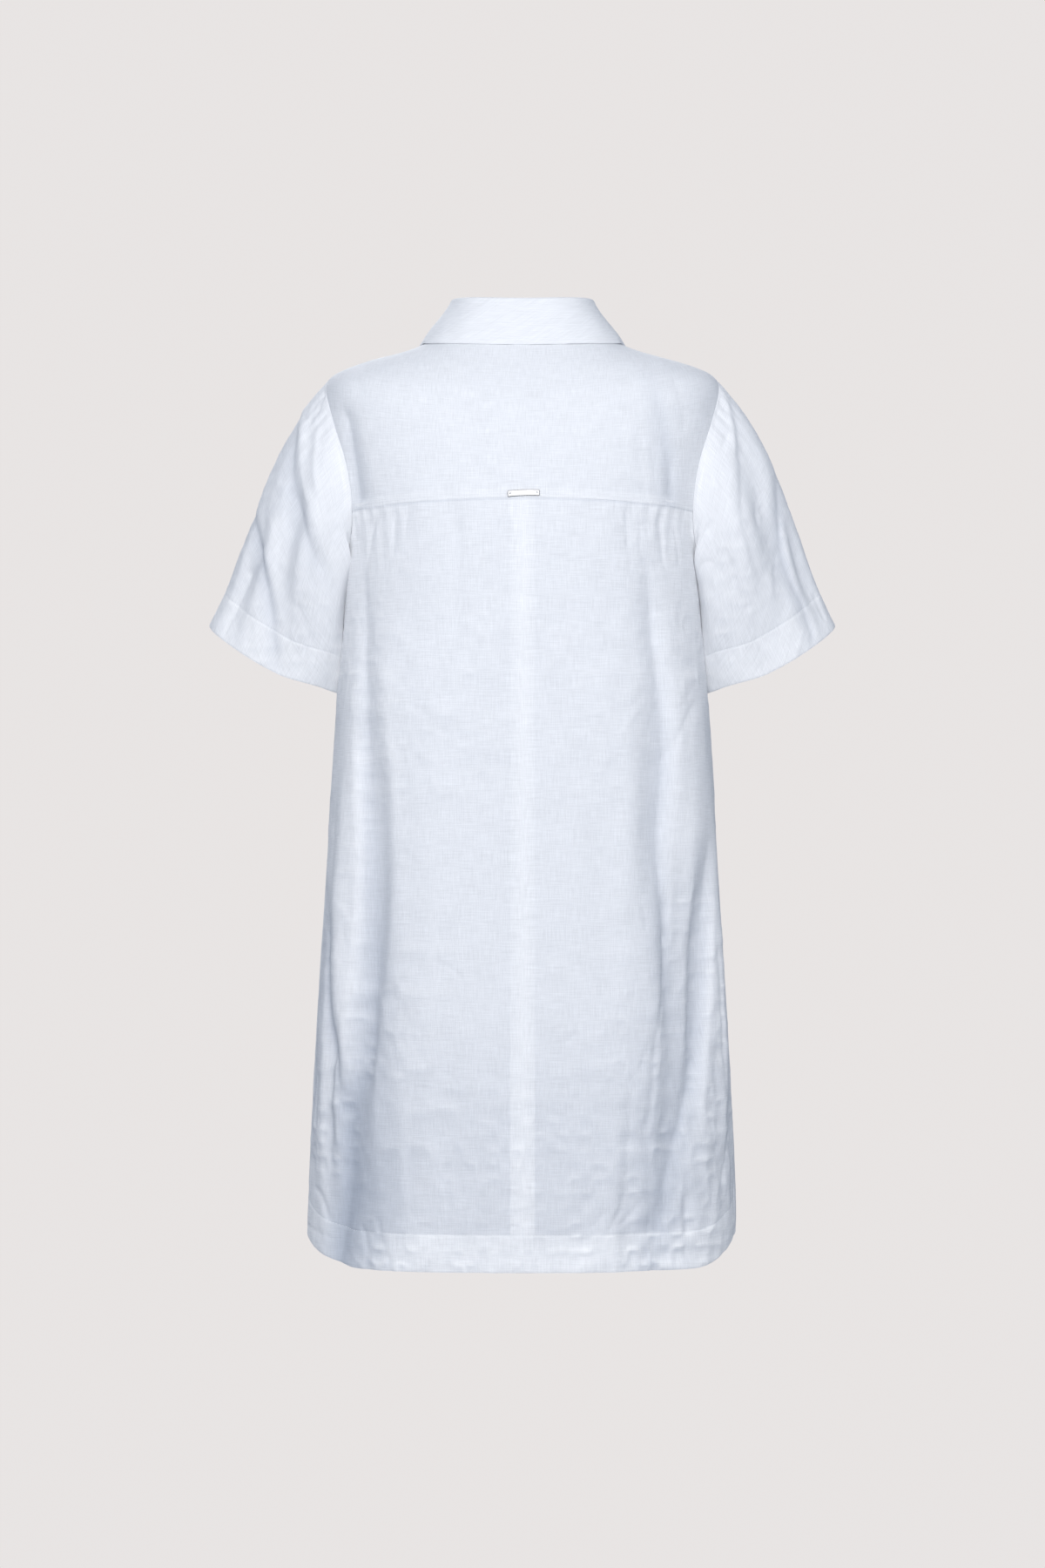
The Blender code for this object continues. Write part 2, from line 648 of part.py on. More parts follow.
def collar_stand():
    """The stand, whose right end laps over its left end at the front."""
    lap = math.degrees(math.asin(BAND_HALF_WIDTH / SECTIONS[-1][4]))
    turns = steps_of(
        (-90.0 - lap, -90.0 + lap, 3), (-90.0 + lap, 270.0 - lap, 30),
        (270.0 - lap, 270.0 + lap, 3))
    _, out, _ = neck_ring(turns)
    outer = np.array([stand_point(turns, part) for part in (0.0, 0.5, 1.0)])
    return outer, outer - out * COLLAR_WALL


def fall_edge(turn):
    """A point of the fall's lower edge, on the outer face."""
    left = turn <= 90.0
    angle = np.where(left, turn, 180.0 - turn)
    knots = column_of("angle", FALL_EDGE_COLUMNS, FALL_EDGE)
    level = smooth_between(knots, column_of("level", FALL_EDGE_COLUMNS, FALL_EDGE), angle)
    clear = smooth_between(knots, column_of("clear", FALL_EDGE_COLUMNS, FALL_EDGE), angle)
    point = body_point(1, angle, level, folded=False)
    normal = body_normal(1, angle, level, folded=False)
    side = np.where(left, 1.0, -1.0)
    flip = np.stack([side, np.ones_like(side), np.ones_like(side)], axis=-1)
    point, normal = point * flip, normal * flip
    lift = np.where(left, 0.0, lap_lift(-1, point)) + clear + COLLAR_WALL
    return point + normal * lift[..., None]


def fall_point(across, part):
    """A point of the fall's upper face. across runs round the neck from 0 to 1, and part
    goes over the roll from 0 to 1 and then down to the edge from 1 to 2."""
    across, part = np.broadcast_arrays(np.asarray(across, float), np.asarray(part, float))
    near = math.degrees(math.asin(COLLAR_END_X / SECTIONS[-1][4]))
    far = math.degrees(math.asin(COLLAR_POINT_X / float(section("half_width", FALL_EDGE[0][1]))))
    turn = -90.0 + near + (360.0 - 2 * near) * across
    edge = fall_edge(-90.0 + far + (360.0 - 2 * far) * across)
    _, out, up = neck_ring(turn)
    middle = stand_point(turn, 1.0) + out * (ROLL_RADIUS - COLLAR_WALL) + up * (2 * GAP)
    over = np.radians(180.0 - (180.0 - ROLL_END) * np.clip(part, 0.0, 1.0))[..., None]
    roll = middle + ROLL_RADIUS * (out * np.cos(over) + up * np.sin(over))
    start = middle + ROLL_RADIUS * (
        out * math.cos(math.radians(ROLL_END)) + up * math.sin(math.radians(ROLL_END)))
    way = unit(out * math.sin(math.radians(ROLL_END)) - up * math.cos(math.radians(ROLL_END)))
    chord = edge - start
    length = np.linalg.norm(chord, axis=-1, keepdims=True)
    last = unit(unit(chord) * 0.75 - UP * 0.25)
    down = np.clip(part - 1.0, 0.0, 1.0)[..., None]
    curve = (
        start * (1 - down) ** 3
        + 3 * (start + way * length * 0.30) * down * (1 - down) ** 2
        + 3 * (edge - last * length * 0.33) * down**2 * (1 - down)
        + edge * down**3
    )
    return np.where(part[..., None] < 1.0, roll, curve)


def collar_fall():
    """The fall, from its seam on the stand over the roll to its lower edge."""
    across = steps_of((0.0, 0.06, 2), (0.06, 0.94, 32), (0.94, 1.0, 2))
    parts = np.array([0.0, 0.25, 0.5, 0.75, 1.0, 1.2, 1.4, 1.6, 1.8, 2.0])
    a, p = np.meshgrid(across, parts)
    outer = fall_point(a, p)
    low, high = np.maximum(p - 0.02, 0.0), np.minimum(p + 0.02, 2.0)
    left, right = np.maximum(a - 0.002, 0.0), np.minimum(a + 0.002, 1.0)
    normal = unit(np.cross(
        fall_point(right, p) - fall_point(left, p), fall_point(a, low) - fall_point(a, high)))
    return outer, outer - normal * COLLAR_WALL


def button_profile(name):
    """Half of a flat button with a rounded rim and a shallow dish, for a Screw to turn."""
    r, t = BUTTON_RADIUS, BUTTON_THICKNESS
    profile = (
        (0.0, t - BUTTON_DISH), (r * 0.62, t - BUTTON_DISH), (r * 0.86, t),
        (r, t * 0.45), (r * 0.80, 0.0), (0.0, 0.0))
    data = bpy.data.meshes.new(name)
    edges = [(i, i + 1) for i in range(len(profile) - 1)]
    data.from_pydata([(x, 0.0, z) for x, z in profile], edges, [])
    return data


def add_button(number, profile, place, facing, collection):
    made = bpy.data.objects.new(f"button_{number}", profile)
    made.location = place
    made.rotation_euler = Vector(facing).to_track_quat("Z", "Y").to_euler()
    screw = made.modifiers.new("turn", "SCREW")
    screw.steps = BUTTON_SIDES
    screw.render_steps = BUTTON_SIDES
    screw.use_merge_vertices = True
    screw.merge_threshold = 0.00005
    collection.objects.link(made)


def button_places():
    """The place and facing of each button, from the stand down."""
    front = np.array([270.0])
    place = stand_point(front, 0.48)[0]
    rise = stand_point(front, 0.6)[0] - stand_point(front, 0.4)[0]
    facing = unit(np.cross(rise, [-1.0, 0.0, 0.0]))
    places = [(place + facing * BUTTON_LIFT, facing)]
    knots = column_of("front_z", SECTION_COLUMNS, SECTIONS)
    levels = column_of("level", SECTION_COLUMNS, SECTIONS)
    for height in BUTTON_HEIGHTS:
        level = float(np.interp(height, knots, levels))
        point = body_point(-1, -90.0, level, folded=False)
        normal = body_normal(-1, -90.0, level, folded=False)
        places.append((point + normal * (LAP_LIFT + BUTTON_LIFT), normal))
    return places


def add_plate(collection):
    """A thin bare plate with a fixing hole near each end, slightly arched."""
    half, high = PLATE_LENGTH / 2, PLATE_HEIGHT / 2
    angles = 2 * np.pi * np.arange(8) / 8
    top = [(x, high) for x in np.linspace(-half, half, 9)]
    foot = [(x, -high) for x in np.linspace(half, -half, 9)]
    loops = [top + foot]
    for centre in (PLATE_HOLE_INSET - half, half - PLATE_HOLE_INSET):
        x = centre + PLATE_HOLE_RADIUS * np.cos(angles)
        loops.append(list(zip(x, PLATE_HOLE_RADIUS * np.sin(angles))))
    outline = bpy.data.curves.new("yoke_plate", "CURVE")
    outline.dimensions = "2D"
    outline.fill_mode = "BOTH"
    outline.extrude = PLATE_THICKNESS / 2
    for loop in loops:
        spline = outline.splines.new("POLY")
        spline.points.add(len(loop) - 1)
        spline.use_cyclic_u = True
        for point, (x, y) in zip(spline.points, loop):
            point.co = (x, y - PLATE_ARCH * (x / half) ** 2, 0.0, 1.0)
    made = bpy.data.objects.new("yoke_plate", outline)
    place = body_point(1, 90.0, PLATE_CENTRE[1], folded=False)
    normal = body_normal(1, 90.0, PLATE_CENTRE[1], folded=False)
    lift = BUTTON_LIFT + PLATE_THICKNESS / 2
    made.location = place + np.array([PLATE_CENTRE[0], 0.0, 0.0]) + normal * lift
    rise = np.cross(normal, [-1.0, 0.0, 0.0])
    facing = Matrix((Vector((-1.0, 0.0, 0.0)), Vector(rise), Vector(normal))).transposed()
    turn = Matrix.Rotation(math.radians(PLATE_TILT), 3, "Z")
    made.rotation_euler = (facing @ turn).to_euler()
    collection.objects.link(made)
    return made


def material(name, colour, roughness, metallic=0.0):
    made = bpy.data.materials.new(name)
    made.use_nodes = True
    shader = made.node_tree.nodes["Principled BSDF"]
    shader.inputs["Base Color"].default_value = colour
    shader.inputs["Roughness"].default_value = roughness
    shader.inputs["Metallic"].default_value = metallic
    made.diffuse_color = colour
    return made


def add_cloth(data, finish, collection):
    data.materials.append(finish)
    made = bpy.data.objects.new(data.name, data)
    collection.objects.link(made)


def main():
    for old in list(bpy.data.objects):
        bpy.data.objects.remove(old, do_unlink=True)
    dress = bpy.data.collections.new("linen_shirt_dress")
    bpy.context.scene.collection.children.link(dress)
    cloth = [
        wall_mesh("back_yoke", *yoke_panel()),
        wall_mesh("back_left", *back_panel(1)),
        wall_mesh("back_right", *back_panel(-1)),
        wall_mesh("front_left", *front_panel(1)),
        wall_mesh("front_right", *front_panel(-1)),
        wall_mesh("sleeve_left", *sleeve_walls(1), closed_round=True),
        wall_mesh("sleeve_right", *sleeve_walls(-1), closed_round=True),
        wall_mesh("collar_stand", *collar_stand()),
        wall_mesh("collar_fall", *collar_fall()),
    ]
    for data in cloth:
        add_cloth(data, material(data.name, WHITE_LINEN, 0.85), dress)
    profile = button_profile("button")
    profile.materials.append(material("button", WHITE_BUTTON, 0.35))
    for number, (place, facing) in enumerate(button_places(), start=1):
        add_button(number, profile, place, facing, dress)
    plate = add_plate(dress)
    plate.data.materials.append(material("yoke_plate", SILVER, 0.3, 1.0))


main()
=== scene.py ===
# The looks of the short linen shirt dress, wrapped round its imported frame.
# Metres, +Z up, the front faces -Y and the wearer's left is +X.

import math

import bmesh
import bpy
import numpy as np
from mathutils import Matrix, Vector


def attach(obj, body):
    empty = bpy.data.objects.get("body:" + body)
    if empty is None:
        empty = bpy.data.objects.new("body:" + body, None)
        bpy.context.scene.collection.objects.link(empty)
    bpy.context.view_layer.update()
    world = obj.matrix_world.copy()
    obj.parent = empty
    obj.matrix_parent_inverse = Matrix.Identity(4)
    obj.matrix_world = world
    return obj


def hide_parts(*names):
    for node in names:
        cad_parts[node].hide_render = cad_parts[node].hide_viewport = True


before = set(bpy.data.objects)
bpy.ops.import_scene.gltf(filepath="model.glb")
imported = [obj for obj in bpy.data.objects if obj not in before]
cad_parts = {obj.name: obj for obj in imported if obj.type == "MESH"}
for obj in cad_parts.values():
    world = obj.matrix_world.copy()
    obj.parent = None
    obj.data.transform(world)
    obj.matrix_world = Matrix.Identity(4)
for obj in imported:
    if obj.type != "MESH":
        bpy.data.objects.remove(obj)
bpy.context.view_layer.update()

# Cloth and seams
GAP = 0.0003
HEM_LAYER = 0.0007
SEEN_WALL = 0.0007
TUCK = 0.006
TUCK_DEPTH = 0.0004
ALLOWANCE = 0.0115
YOKE_ALLOWANCE = 0.009

# How far each row of stitches lies from its edge, and the sizes of a stitch
HEM_STITCH = 0.035
SLEEVE_STITCH = 0.0362
BAND_STITCH = 0.0016
YOKE_STITCH = 0.0022
STAND_STITCH = 0.0018
FALL_STITCH = 0.0052
STITCH_PITCH = 0.0034
STITCH_LENGTH = 0.0027
THREAD_RADIUS = 0.00020
THREAD_LIFT = 0.00005
# Across and along, the pitch of the woven threads
THREAD_PITCH = (0.00066, 0.00062)

# Levels run up the cloth: below 0 they are metres under the underarm,
# and above 0 they are metres from the underarm over the shoulder to the neck
UNDERARM_Z = -0.250
TIP_LEVEL = 0.220
NECK_LEVEL = 0.340
YOKE_CENTRE_LEVEL = 0.093
YOKE_DROP = 0.015

# Hem: flat in the middle, rising in a curve to the side
HEM_Z = -0.885
HEM_SIDE_RISE = 0.031
HEM_CURVE_ANGLE = 44.0
HEM_CURVE_POWER = 1.6

# Seams, in degrees round the body from the side towards the back
SIDE_SEAM_TOP = 2.0
SIDE_SEAM_HEM = 14.0
SHOULDER_SEAM = 4.0
ARMHOLE_BACK = 29.0
ARMHOLE_FRONT = 38.0
ARMHOLE_FULLNESS = 0.65

# How square the sections of the body are; 2 is an ellipse
SQUARENESS = 2.35

# The body's sections from hem to neck: the level, the heights at side, back and front,
# and the half width and the depths behind and before the shoulder line
SECTION_COLUMNS = (
    "level", "side_z", "back_z", "front_z", "half_width", "back_depth", "front_depth")
SECTIONS = (
    (-0.680, -0.930, -0.930, -0.930, 0.2076, 0.1375, 0.1450),
    (-0.600, -0.850, -0.850, -0.850, 0.2072, 0.1370, 0.1445),
    (-0.474, -0.724, -0.724, -0.724, 0.2020, 0.1340, 0.1430),
    (-0.250, -0.500, -0.500, -0.500, 0.1885, 0.1290, 0.1400),
    (-0.102, -0.352, -0.352, -0.352, 0.1800, 0.1260, 0.1380),
    (-0.050, -0.300, -0.300, -0.300, 0.1755, 0.1250, 0.1370),
    (0.000, -0.250, -0.250, -0.250, 0.1742, 0.1240, 0.1340),
    (0.060, -0.190, -0.190, -0.205, 0.1770, 0.1225, 0.1290),
    (0.120, -0.130, -0.136, -0.165, 0.1880, 0.1180, 0.1200),
    (0.180, -0.073, -0.092, -0.132, 0.1930, 0.1100, 0.1080),
    (0.220, -0.038, -0.064, -0.110, 0.1885, 0.1010, 0.0970),
    (0.260, -0.021, -0.040, -0.092, 0.1550, 0.0880, 0.0860),
    (0.300, -0.0095, -0.018, -0.076, 0.1120, 0.0730, 0.0760),
    (0.340, 0.009, 0.004, -0.060, 0.0690, 0.0560, 0.0660),
)
SECTION = dict(zip(SECTION_COLUMNS, np.array(SECTIONS).T))

# Long folds of the skirt: the side (1 is the wearer's left), the height it is deepest at,
# how far it reaches up and down from there, half its width, its depth (under 0 is a
# trough), and the angles round the body at its top, middle and foot
FOLD_COLUMNS = (
    "side", "middle_z", "reach_up", "reach_down", "half_width", "depth",
    "angle_top", "angle_middle", "angle_foot")
FOLDS = (
    (1, -0.520, 0.340, 0.390, 0.013, -0.0075, 38.0, 47.0, 38.0),
    (1, -0.560, 0.260, 0.170, 0.014, 0.0050, 33.0, 32.0, 36.0),
    (1, -0.700, 0.170, 0.190, 0.009, -0.0050, 22.0, 29.0, 35.0),
    (1, -0.600, 0.350, 0.300, 0.022, 0.0030, 66.0, 64.0, 62.0),
    (-1, -0.420, 0.240, 0.240, 0.016, -0.0060, 50.0, 51.0, 57.0),
    (-1, -0.600, 0.270, 0.280, 0.013, -0.0060, 41.0, 46.0, 52.0),
    (-1, -0.600, 0.130, 0.270, 0.012, -0.0060, 30.0, 36.0, 45.0),
    (-1, -0.850, 0.140, 0.080, 0.010, -0.0055, 60.0, 62.0, 60.0),
    (-1, -0.640, 0.240, 0.260, 0.014, 0.0050, 20.0, 24.0, 26.0),
    (1, -0.560, 0.300, 0.360, 0.016, -0.0070, -40.0, -46.0, -42.0),
    (1, -0.620, 0.300, 0.300, 0.014, 0.0050, -30.0, -30.0, -28.0),
    (1, -0.700, 0.260, 0.200, 0.018, -0.0045, -58.0, -62.0, -66.0),
    (-1, -0.520, 0.260, 0.390, 0.015, -0.0070, -38.0, -43.0, -48.0),
    (-1, -0.640, 0.300, 0.280, 0.014, 0.0050, -28.0, -27.0, -30.0),
    (-1, -0.660, 0.280, 0.250, 0.018, -0.0045, -60.0, -57.0, -64.0),
)

# Gathers under the yoke: the side, the angle round the body, the length, half the width
# and the depth of each little trough, and how much of the depth is used
GATHER_SHARE = 0.34
GATHER_COLUMNS = ("side", "angle", "length", "half_width", "depth")
GATHERS = (
    (1, 34.5, 0.040, 0.0042, -0.0024),
    (1, 39.0, 0.110, 0.0050, -0.0036),
    (1, 44.0, 0.080, 0.0050, -0.0032),
    (1, 49.5, 0.060, 0.0052, -0.0026),
    (1, 55.0, 0.050, 0.0052, -0.0022),
    (1, 69.0, 0.090, 0.0065, -0.0018),
    (1, 77.0, 0.050, 0.0060, -0.0014),
    (-1, 35.5, 0.040, 0.0042, -0.0024),
    (-1, 40.5, 0.080, 0.0050, -0.0032),
    (-1, 45.5, 0.090, 0.0050, -0.0034),
    (-1, 51.0, 0.070, 0.0052, -0.0026),
    (-1, 56.5, 0.100, 0.0055, -0.0030),
    (-1, 70.0, 0.060, 0.0065, -0.0014),
)

# Sleeves: the middle of the open end, how the sleeve leans, and the half sizes there
SLEEVE_END = (0.2440, -0.020, -0.3075)
SLEEVE_LEAN = 29.0
SLEEVE_FORWARD = 11.0
SLEEVE_END_HALF_WIDTH = 0.0700
SLEEVE_END_HALF_DEPTH = 0.0520
SLEEVE_END_SQUARENESS = 1.8
CAP_WAY = (0.71, 0.20, -0.70)
# How far its inner side is brought in to rest by the body, and how clear it stays; and the
# width of its map all round
SLEEVE_SWELL = 0.014
SLEEVE_CLEAR = -0.0005
SLEEVE_ROUND = 0.40

# Long folds of the sleeves: side, the turn round the sleeve (0 is the shoulder tip,
# 0.25 the back, 0.5 the underarm, 0.75 the front) at cap and cuff, where along the
# sleeve the fold starts, is deepest and ends, half its width in turns, and its depth
SLEEVE_FOLD_COLUMNS = (
    "side", "turn_cap", "turn_cuff", "start", "deepest", "end", "half_turn", "depth")
SLEEVE_FOLDS = (
    (1, 0.100, 0.270, 0.02, 0.50, 0.90, 0.032, -0.0065),
    (1, 0.180, 0.340, 0.02, 0.45, 0.98, 0.036, 0.0040),
    (1, 0.030, 0.130, 0.35, 0.75, 1.06, 0.026, -0.0055),
    (1, 0.900, 0.780, 0.02, 0.50, 1.00, 0.034, -0.0060),
    (1, 0.820, 0.690, 0.05, 0.55, 1.00, 0.036, 0.0040),
    (-1, 0.080, 0.190, 0.02, 0.50, 0.92, 0.032, -0.0065),
    (-1, 0.170, 0.310, 0.02, 0.40, 0.92, 0.038, 0.0045),
    (-1, 0.030, 0.095, 0.35, 0.75, 1.06, 0.024, -0.0055),
    (-1, 0.910, 0.800, 0.02, 0.50, 1.00, 0.034, -0.0060),
    (-1, 0.830, 0.710, 0.05, 0.55, 1.00, 0.036, 0.0040),
)

# Collar: a stand round the neck, and a fall that rolls over it and comes down
COLLAR_WALL = 0.0014
STAND_HEIGHT_BACK = 0.0285
STAND_HEIGHT_FRONT = 0.0260
STAND_LEAN = 0.0030
ROLL_RADIUS = 0.0028
ROLL_END = 20.0
COLLAR_END_X = 0.0020
COLLAR_POINT_X = 0.0340
# The fall's lower edge: the angle round the neck, its level on the cloth beneath, and
# how far its under side stands off that cloth
FALL_EDGE_COLUMNS = ("angle", "level", "clear")
FALL_EDGE = (
    (-90.0, 0.246, 0.0014),
    (-78.0, 0.246, 0.0014),
    (-55.0, 0.270, 0.0016),
    (-25.0, 0.298, 0.0011),
    (0.0, 0.3125, 0.0006),
    (30.0, 0.3120, 0.0004),
    (60.0, 0.3125, 0.0004),
    (90.0, 0.3130, 0.0004),
)
FALL = dict(zip(FALL_EDGE_COLUMNS, np.array(FALL_EDGE).T))

# Front opening: the right side laps over the left and is buttoned
BAND_HALF_WIDTH = 0.015
LAP_LIFT = 0.0022
LAP_RAMP = 0.030
BUTTON_RADIUS = 0.0056
BUTTON_THICKNESS = 0.0022
BUTTON_LIFT = 0.0005
BUTTON_TOP = 0.74 * BUTTON_THICKNESS
BUTTON_HOLE_RADIUS = 0.00085
BUTTON_HOLE_OFFSET = 0.00125
BUTTON_HOLES = [
    (x * BUTTON_HOLE_OFFSET, y * BUTTON_HOLE_OFFSET) for x in (-1, 1) for y in (-1, 1)]
BUTTONHOLE_HALF = 0.0080
BUTTONHOLE_WIDE = 0.0011
TIE_RADIUS = 0.00017
EDGING_RADIUS = 0.00042
BUTTON_HEIGHTS = (-0.100, -0.190, -0.282, -0.374, -0.466, -0.558, -0.650, -0.742)

# Bare metal plate on the yoke
PLATE_LENGTH = 0.0300
PLATE_HEIGHT = 0.0058
PLATE_THICKNESS = 0.0009
PLATE_ARCH = 0.0006
PLATE_HOLE_RADIUS = 0.0007
PLATE_HOLE_INSET = 0.0024
PLATE_CENTRE = (-0.0010, 0.0975)
PLATE_TILT = 2.0
PLATE_CORNER = 0.0008
PLATE_EDGE = 0.00020

# Colours and tones, with the painted shade and painted light put into the linen's colour
SINGLE_LINEN = (0.808, 0.826, 0.856)
DOUBLE_LINEN = (0.856, 0.872, 0.896)
# Painted shade: how much red, green and blue are darkened where the painted shade is full
PAINTED_SHADE_TINT = (0.32, 0.29, 0.24)
THREAD_WHITE = (0.90, 0.91, 0.93)
# Painted light: how much lighter the sleeves' colour is made, as a painted shade under 0
SLEEVE_PAINTED_LIGHT = 0.16
# How much painted shade and painted light the slopes and hollows of small creases, and rows of
# stitches, put into the colour
PAINTED_SLOPE_SHADE = 1.1
PAINTED_HOLLOW_SHADE = 20.0
PAINTED_STITCH_SHADE = 200.0
BACKGROUND = (0.808, 0.780, 0.773)
FLOOR_COLOUR = (0.68, 0.66, 0.65)
SKY_COLOUR = (0.68, 0.80, 1.0)
SKY_STRENGTH = 0.34

# Camera, floor and lights
CAMERA_DISTANCE = 3.6
CAMERA_HEIGHT = -0.4284
LENS = 85.2
FLOOR_Z = -1.62
FLOOR_RADIUS = 0.90
LIGHTS = (
    # name, place, the point aimed at, size, power, colour
    ("key", (0.1, 3.0, 0.75), (0.0, 0.0, -0.20), (1.2, 0.9), 58.0, (1.0, 0.985, 0.985)),
    ("left_key", (2.3, 2.5, 0.9), (0.0, 0.0, -0.20), (1.2, 1.2), 25.0, (1.0, 0.985, 0.985)),
    ("right_key", (-2.3, 2.5, 0.9), (0.0, 0.0, -0.20), (1.2, 1.2), 25.0, (1.0, 0.985, 0.985)),
    ("front_light", (0.6, -3.2, 1.6), (0.0, 0.0, -0.40), (2.0, 1.8), 100.0, (1.0, 0.99, 0.98)),
)

UP = np.array([0.0, 0.0, 1.0])
MIRROR = np.array([-1.0, 1.0, 1.0])

# Long valleys between the lobes of skirt and sleeves, in millimetres as seen from behind (x is
# the wearer's left, z is up). Each row is a place that a valley's line runs through, how wide
# it spreads there towards the middle of the body and away from it, its depth, and how much
# painted shade it puts into the cloth's colour there
VALLEY_COLUMNS = ("x", "z", "inward", "outward", "depth", "shade")
VALLEYS = {
    "back": {
        "left": (
            (152, -190, 12, 8, 0.0, 0.0), (151, -250, 16, 10, 3.0, 0.15),
            (148, -386, 20, 14, 5.0, 0.4), (145, -470, 30, 12, 7.0, 0.55),
            (143, -555, 32, 15, 8.5, 0.75), (144, -625, 34, 20, 9.0, 0.85),
            (152, -690, 44, 24, 9.0, 0.85), (163, -735, 56, 24, 9.5, 1.05),
            (169, -809, 74, 20, 11.0, 1.3), (177, -870, 74, 20, 10.5, 1.3),
            (180, -905, 60, 18, 8.0, 1.05)),
        "left_low": (
            (189, -515, 8, 6, 0.0, 0.0), (188, -560, 10, 8, 4.0, 0.6),
            (186, -640, 12, 10, 4.5, 0.7), (178, -700, 12, 10, 4.0, 0.5),
            (170, -745, 10, 8, 0.0, 0.0)),
        "left_edge": (
            (199, -520, 10, 6, 0.0, 0.0), (201, -600, 12, 8, 2.0, 0.7),
            (203, -720, 12, 8, 2.0, 0.7), (204, -800, 10, 6, 0.0, 0.0)),
        "right": (
            (-117, -200, 14, 10, 0.0, 0.0), (-120, -260, 18, 14, 3.0, 0.15),
            (-129, -330, 20, 16, 4.5, 0.25), (-134, -386, 24, 16, 5.5, 0.45),
            (-130, -471, 24, 14, 6.0, 0.45), (-135, -560, 26, 8, 5.0, 0.45),
            (-138, -620, 20, 8, 3.0, 0.3), (-138, -680, 14, 8, 0.0, 0.0)),
        "right_low": (
            (-178, -470, 30, 8, 0.0, 0.0), (-176, -520, 50, 9, 5.0, 0.35),
            (-173, -570, 70, 9, 8.0, 0.5), (-170, -640, 80, 9, 9.5, 0.6),
            (-162, -710, 74, 12, 9.0, 0.6), (-148, -760, 60, 24, 8.0, 0.6),
            (-134, -810, 42, 50, 8.0, 0.65), (-126, -860, 36, 44, 7.0, 0.6),
            (-122, -905, 34, 40, 6.0, 0.5)),
    },
    "front": {
        "left": (
            (150, -240, 14, 10, 0.0, 0.0), (147, -340, 22, 12, 4.5, 0.3),
            (136, -480, 32, 14, 7.0, 0.5), (138, -600, 42, 14, 8.5, 0.6),
            (152, -710, 48, 16, 8.5, 0.65), (163, -810, 46, 16, 8.0, 0.65),
            (174, -905, 40, 14, 7.0, 0.5)),
        "right": (
            (-150, -250, 14, 10, 0.0, 0.0), (-144, -360, 24, 12, 5.0, 0.35),
            (-133, -500, 34, 14, 7.5, 0.5), (-141, -630, 46, 12, 8.5, 0.6),
            (-154, -740, 50, 18, 8.0, 0.6), (-147, -820, 40, 30, 7.0, 0.5),
            (-140, -905, 34, 28, 6.0, 0.4)),
    },
    "yoke": {
        "left": (
            (170, -60, 6, 10, 0.0, 0.0), (164, -100, 12, 12, 1.2, 0.25),
            (157, -150, 18, 10, 1.8, 0.4), (155, -176, 18, 10, 1.6, 0.35)),
        "right": (
            (-118, -20, 14, 10, 0.0, 0.0), (-130, -70, 18, 12, 0.8, 0.25),
            (-138, -120, 22, 12, 1.2, 0.4), (-142, -176, 20, 10, 1.2, 0.4)),
    },
    "sleeve_left": {
        "cap": (
            (216, -60, 8, 12, 0.0, 0.0), (221, -95, 9, 16, 3.0, 0.3),
            (223, -124, 12, 22, 4.0, 0.42), (215, -166, 14, 24, 4.2, 0.45),
            (199, -209, 14, 26, 3.2, 0.35), (180, -250, 8, 20, 0.0, 0.0)),
        "elbow": (
            (262, -150, 6, 8, 0.0, 0.0), (260, -179, 7, 12, 3.0, 0.45),
            (254, -207, 8, 14, 4.0, 0.6), (241, -264, 9, 14, 3.6, 0.55),
            (238, -300, 9, 14, 2.4, 0.35), (236, -335, 9, 12, 1.0, 0.1)),
    },
    "sleeve_right": {
        "cap": (
            (-197, -45, 4, 12, 0.0, 0.0), (-206, -85, 6, 20, 1.8, 0.0),
            (-210, -125, 8, 26, 2.2, 0.0), (-211, -165, 10, 28, 2.0, 0.0),
            (-222, -215, 12, 24, 1.6, 0.0), (-233, -260, 12, 16, 0.0, 0.0)),
        "elbow": (
            (-246, -120, 8, 5, 0.0, 0.0), (-248, -160, 14, 6, 2.6, 0.35),
            (-249, -185, 18, 6, 3.6, 0.5), (-254, -218, 18, 6, 3.6, 0.5),
            (-269, -252, 16, 6, 3.2, 0.45), (-280, -284, 14, 6, 2.4, 0.35),
            (-290, -315, 10, 6, 0.0, 0.0)),
    },
}
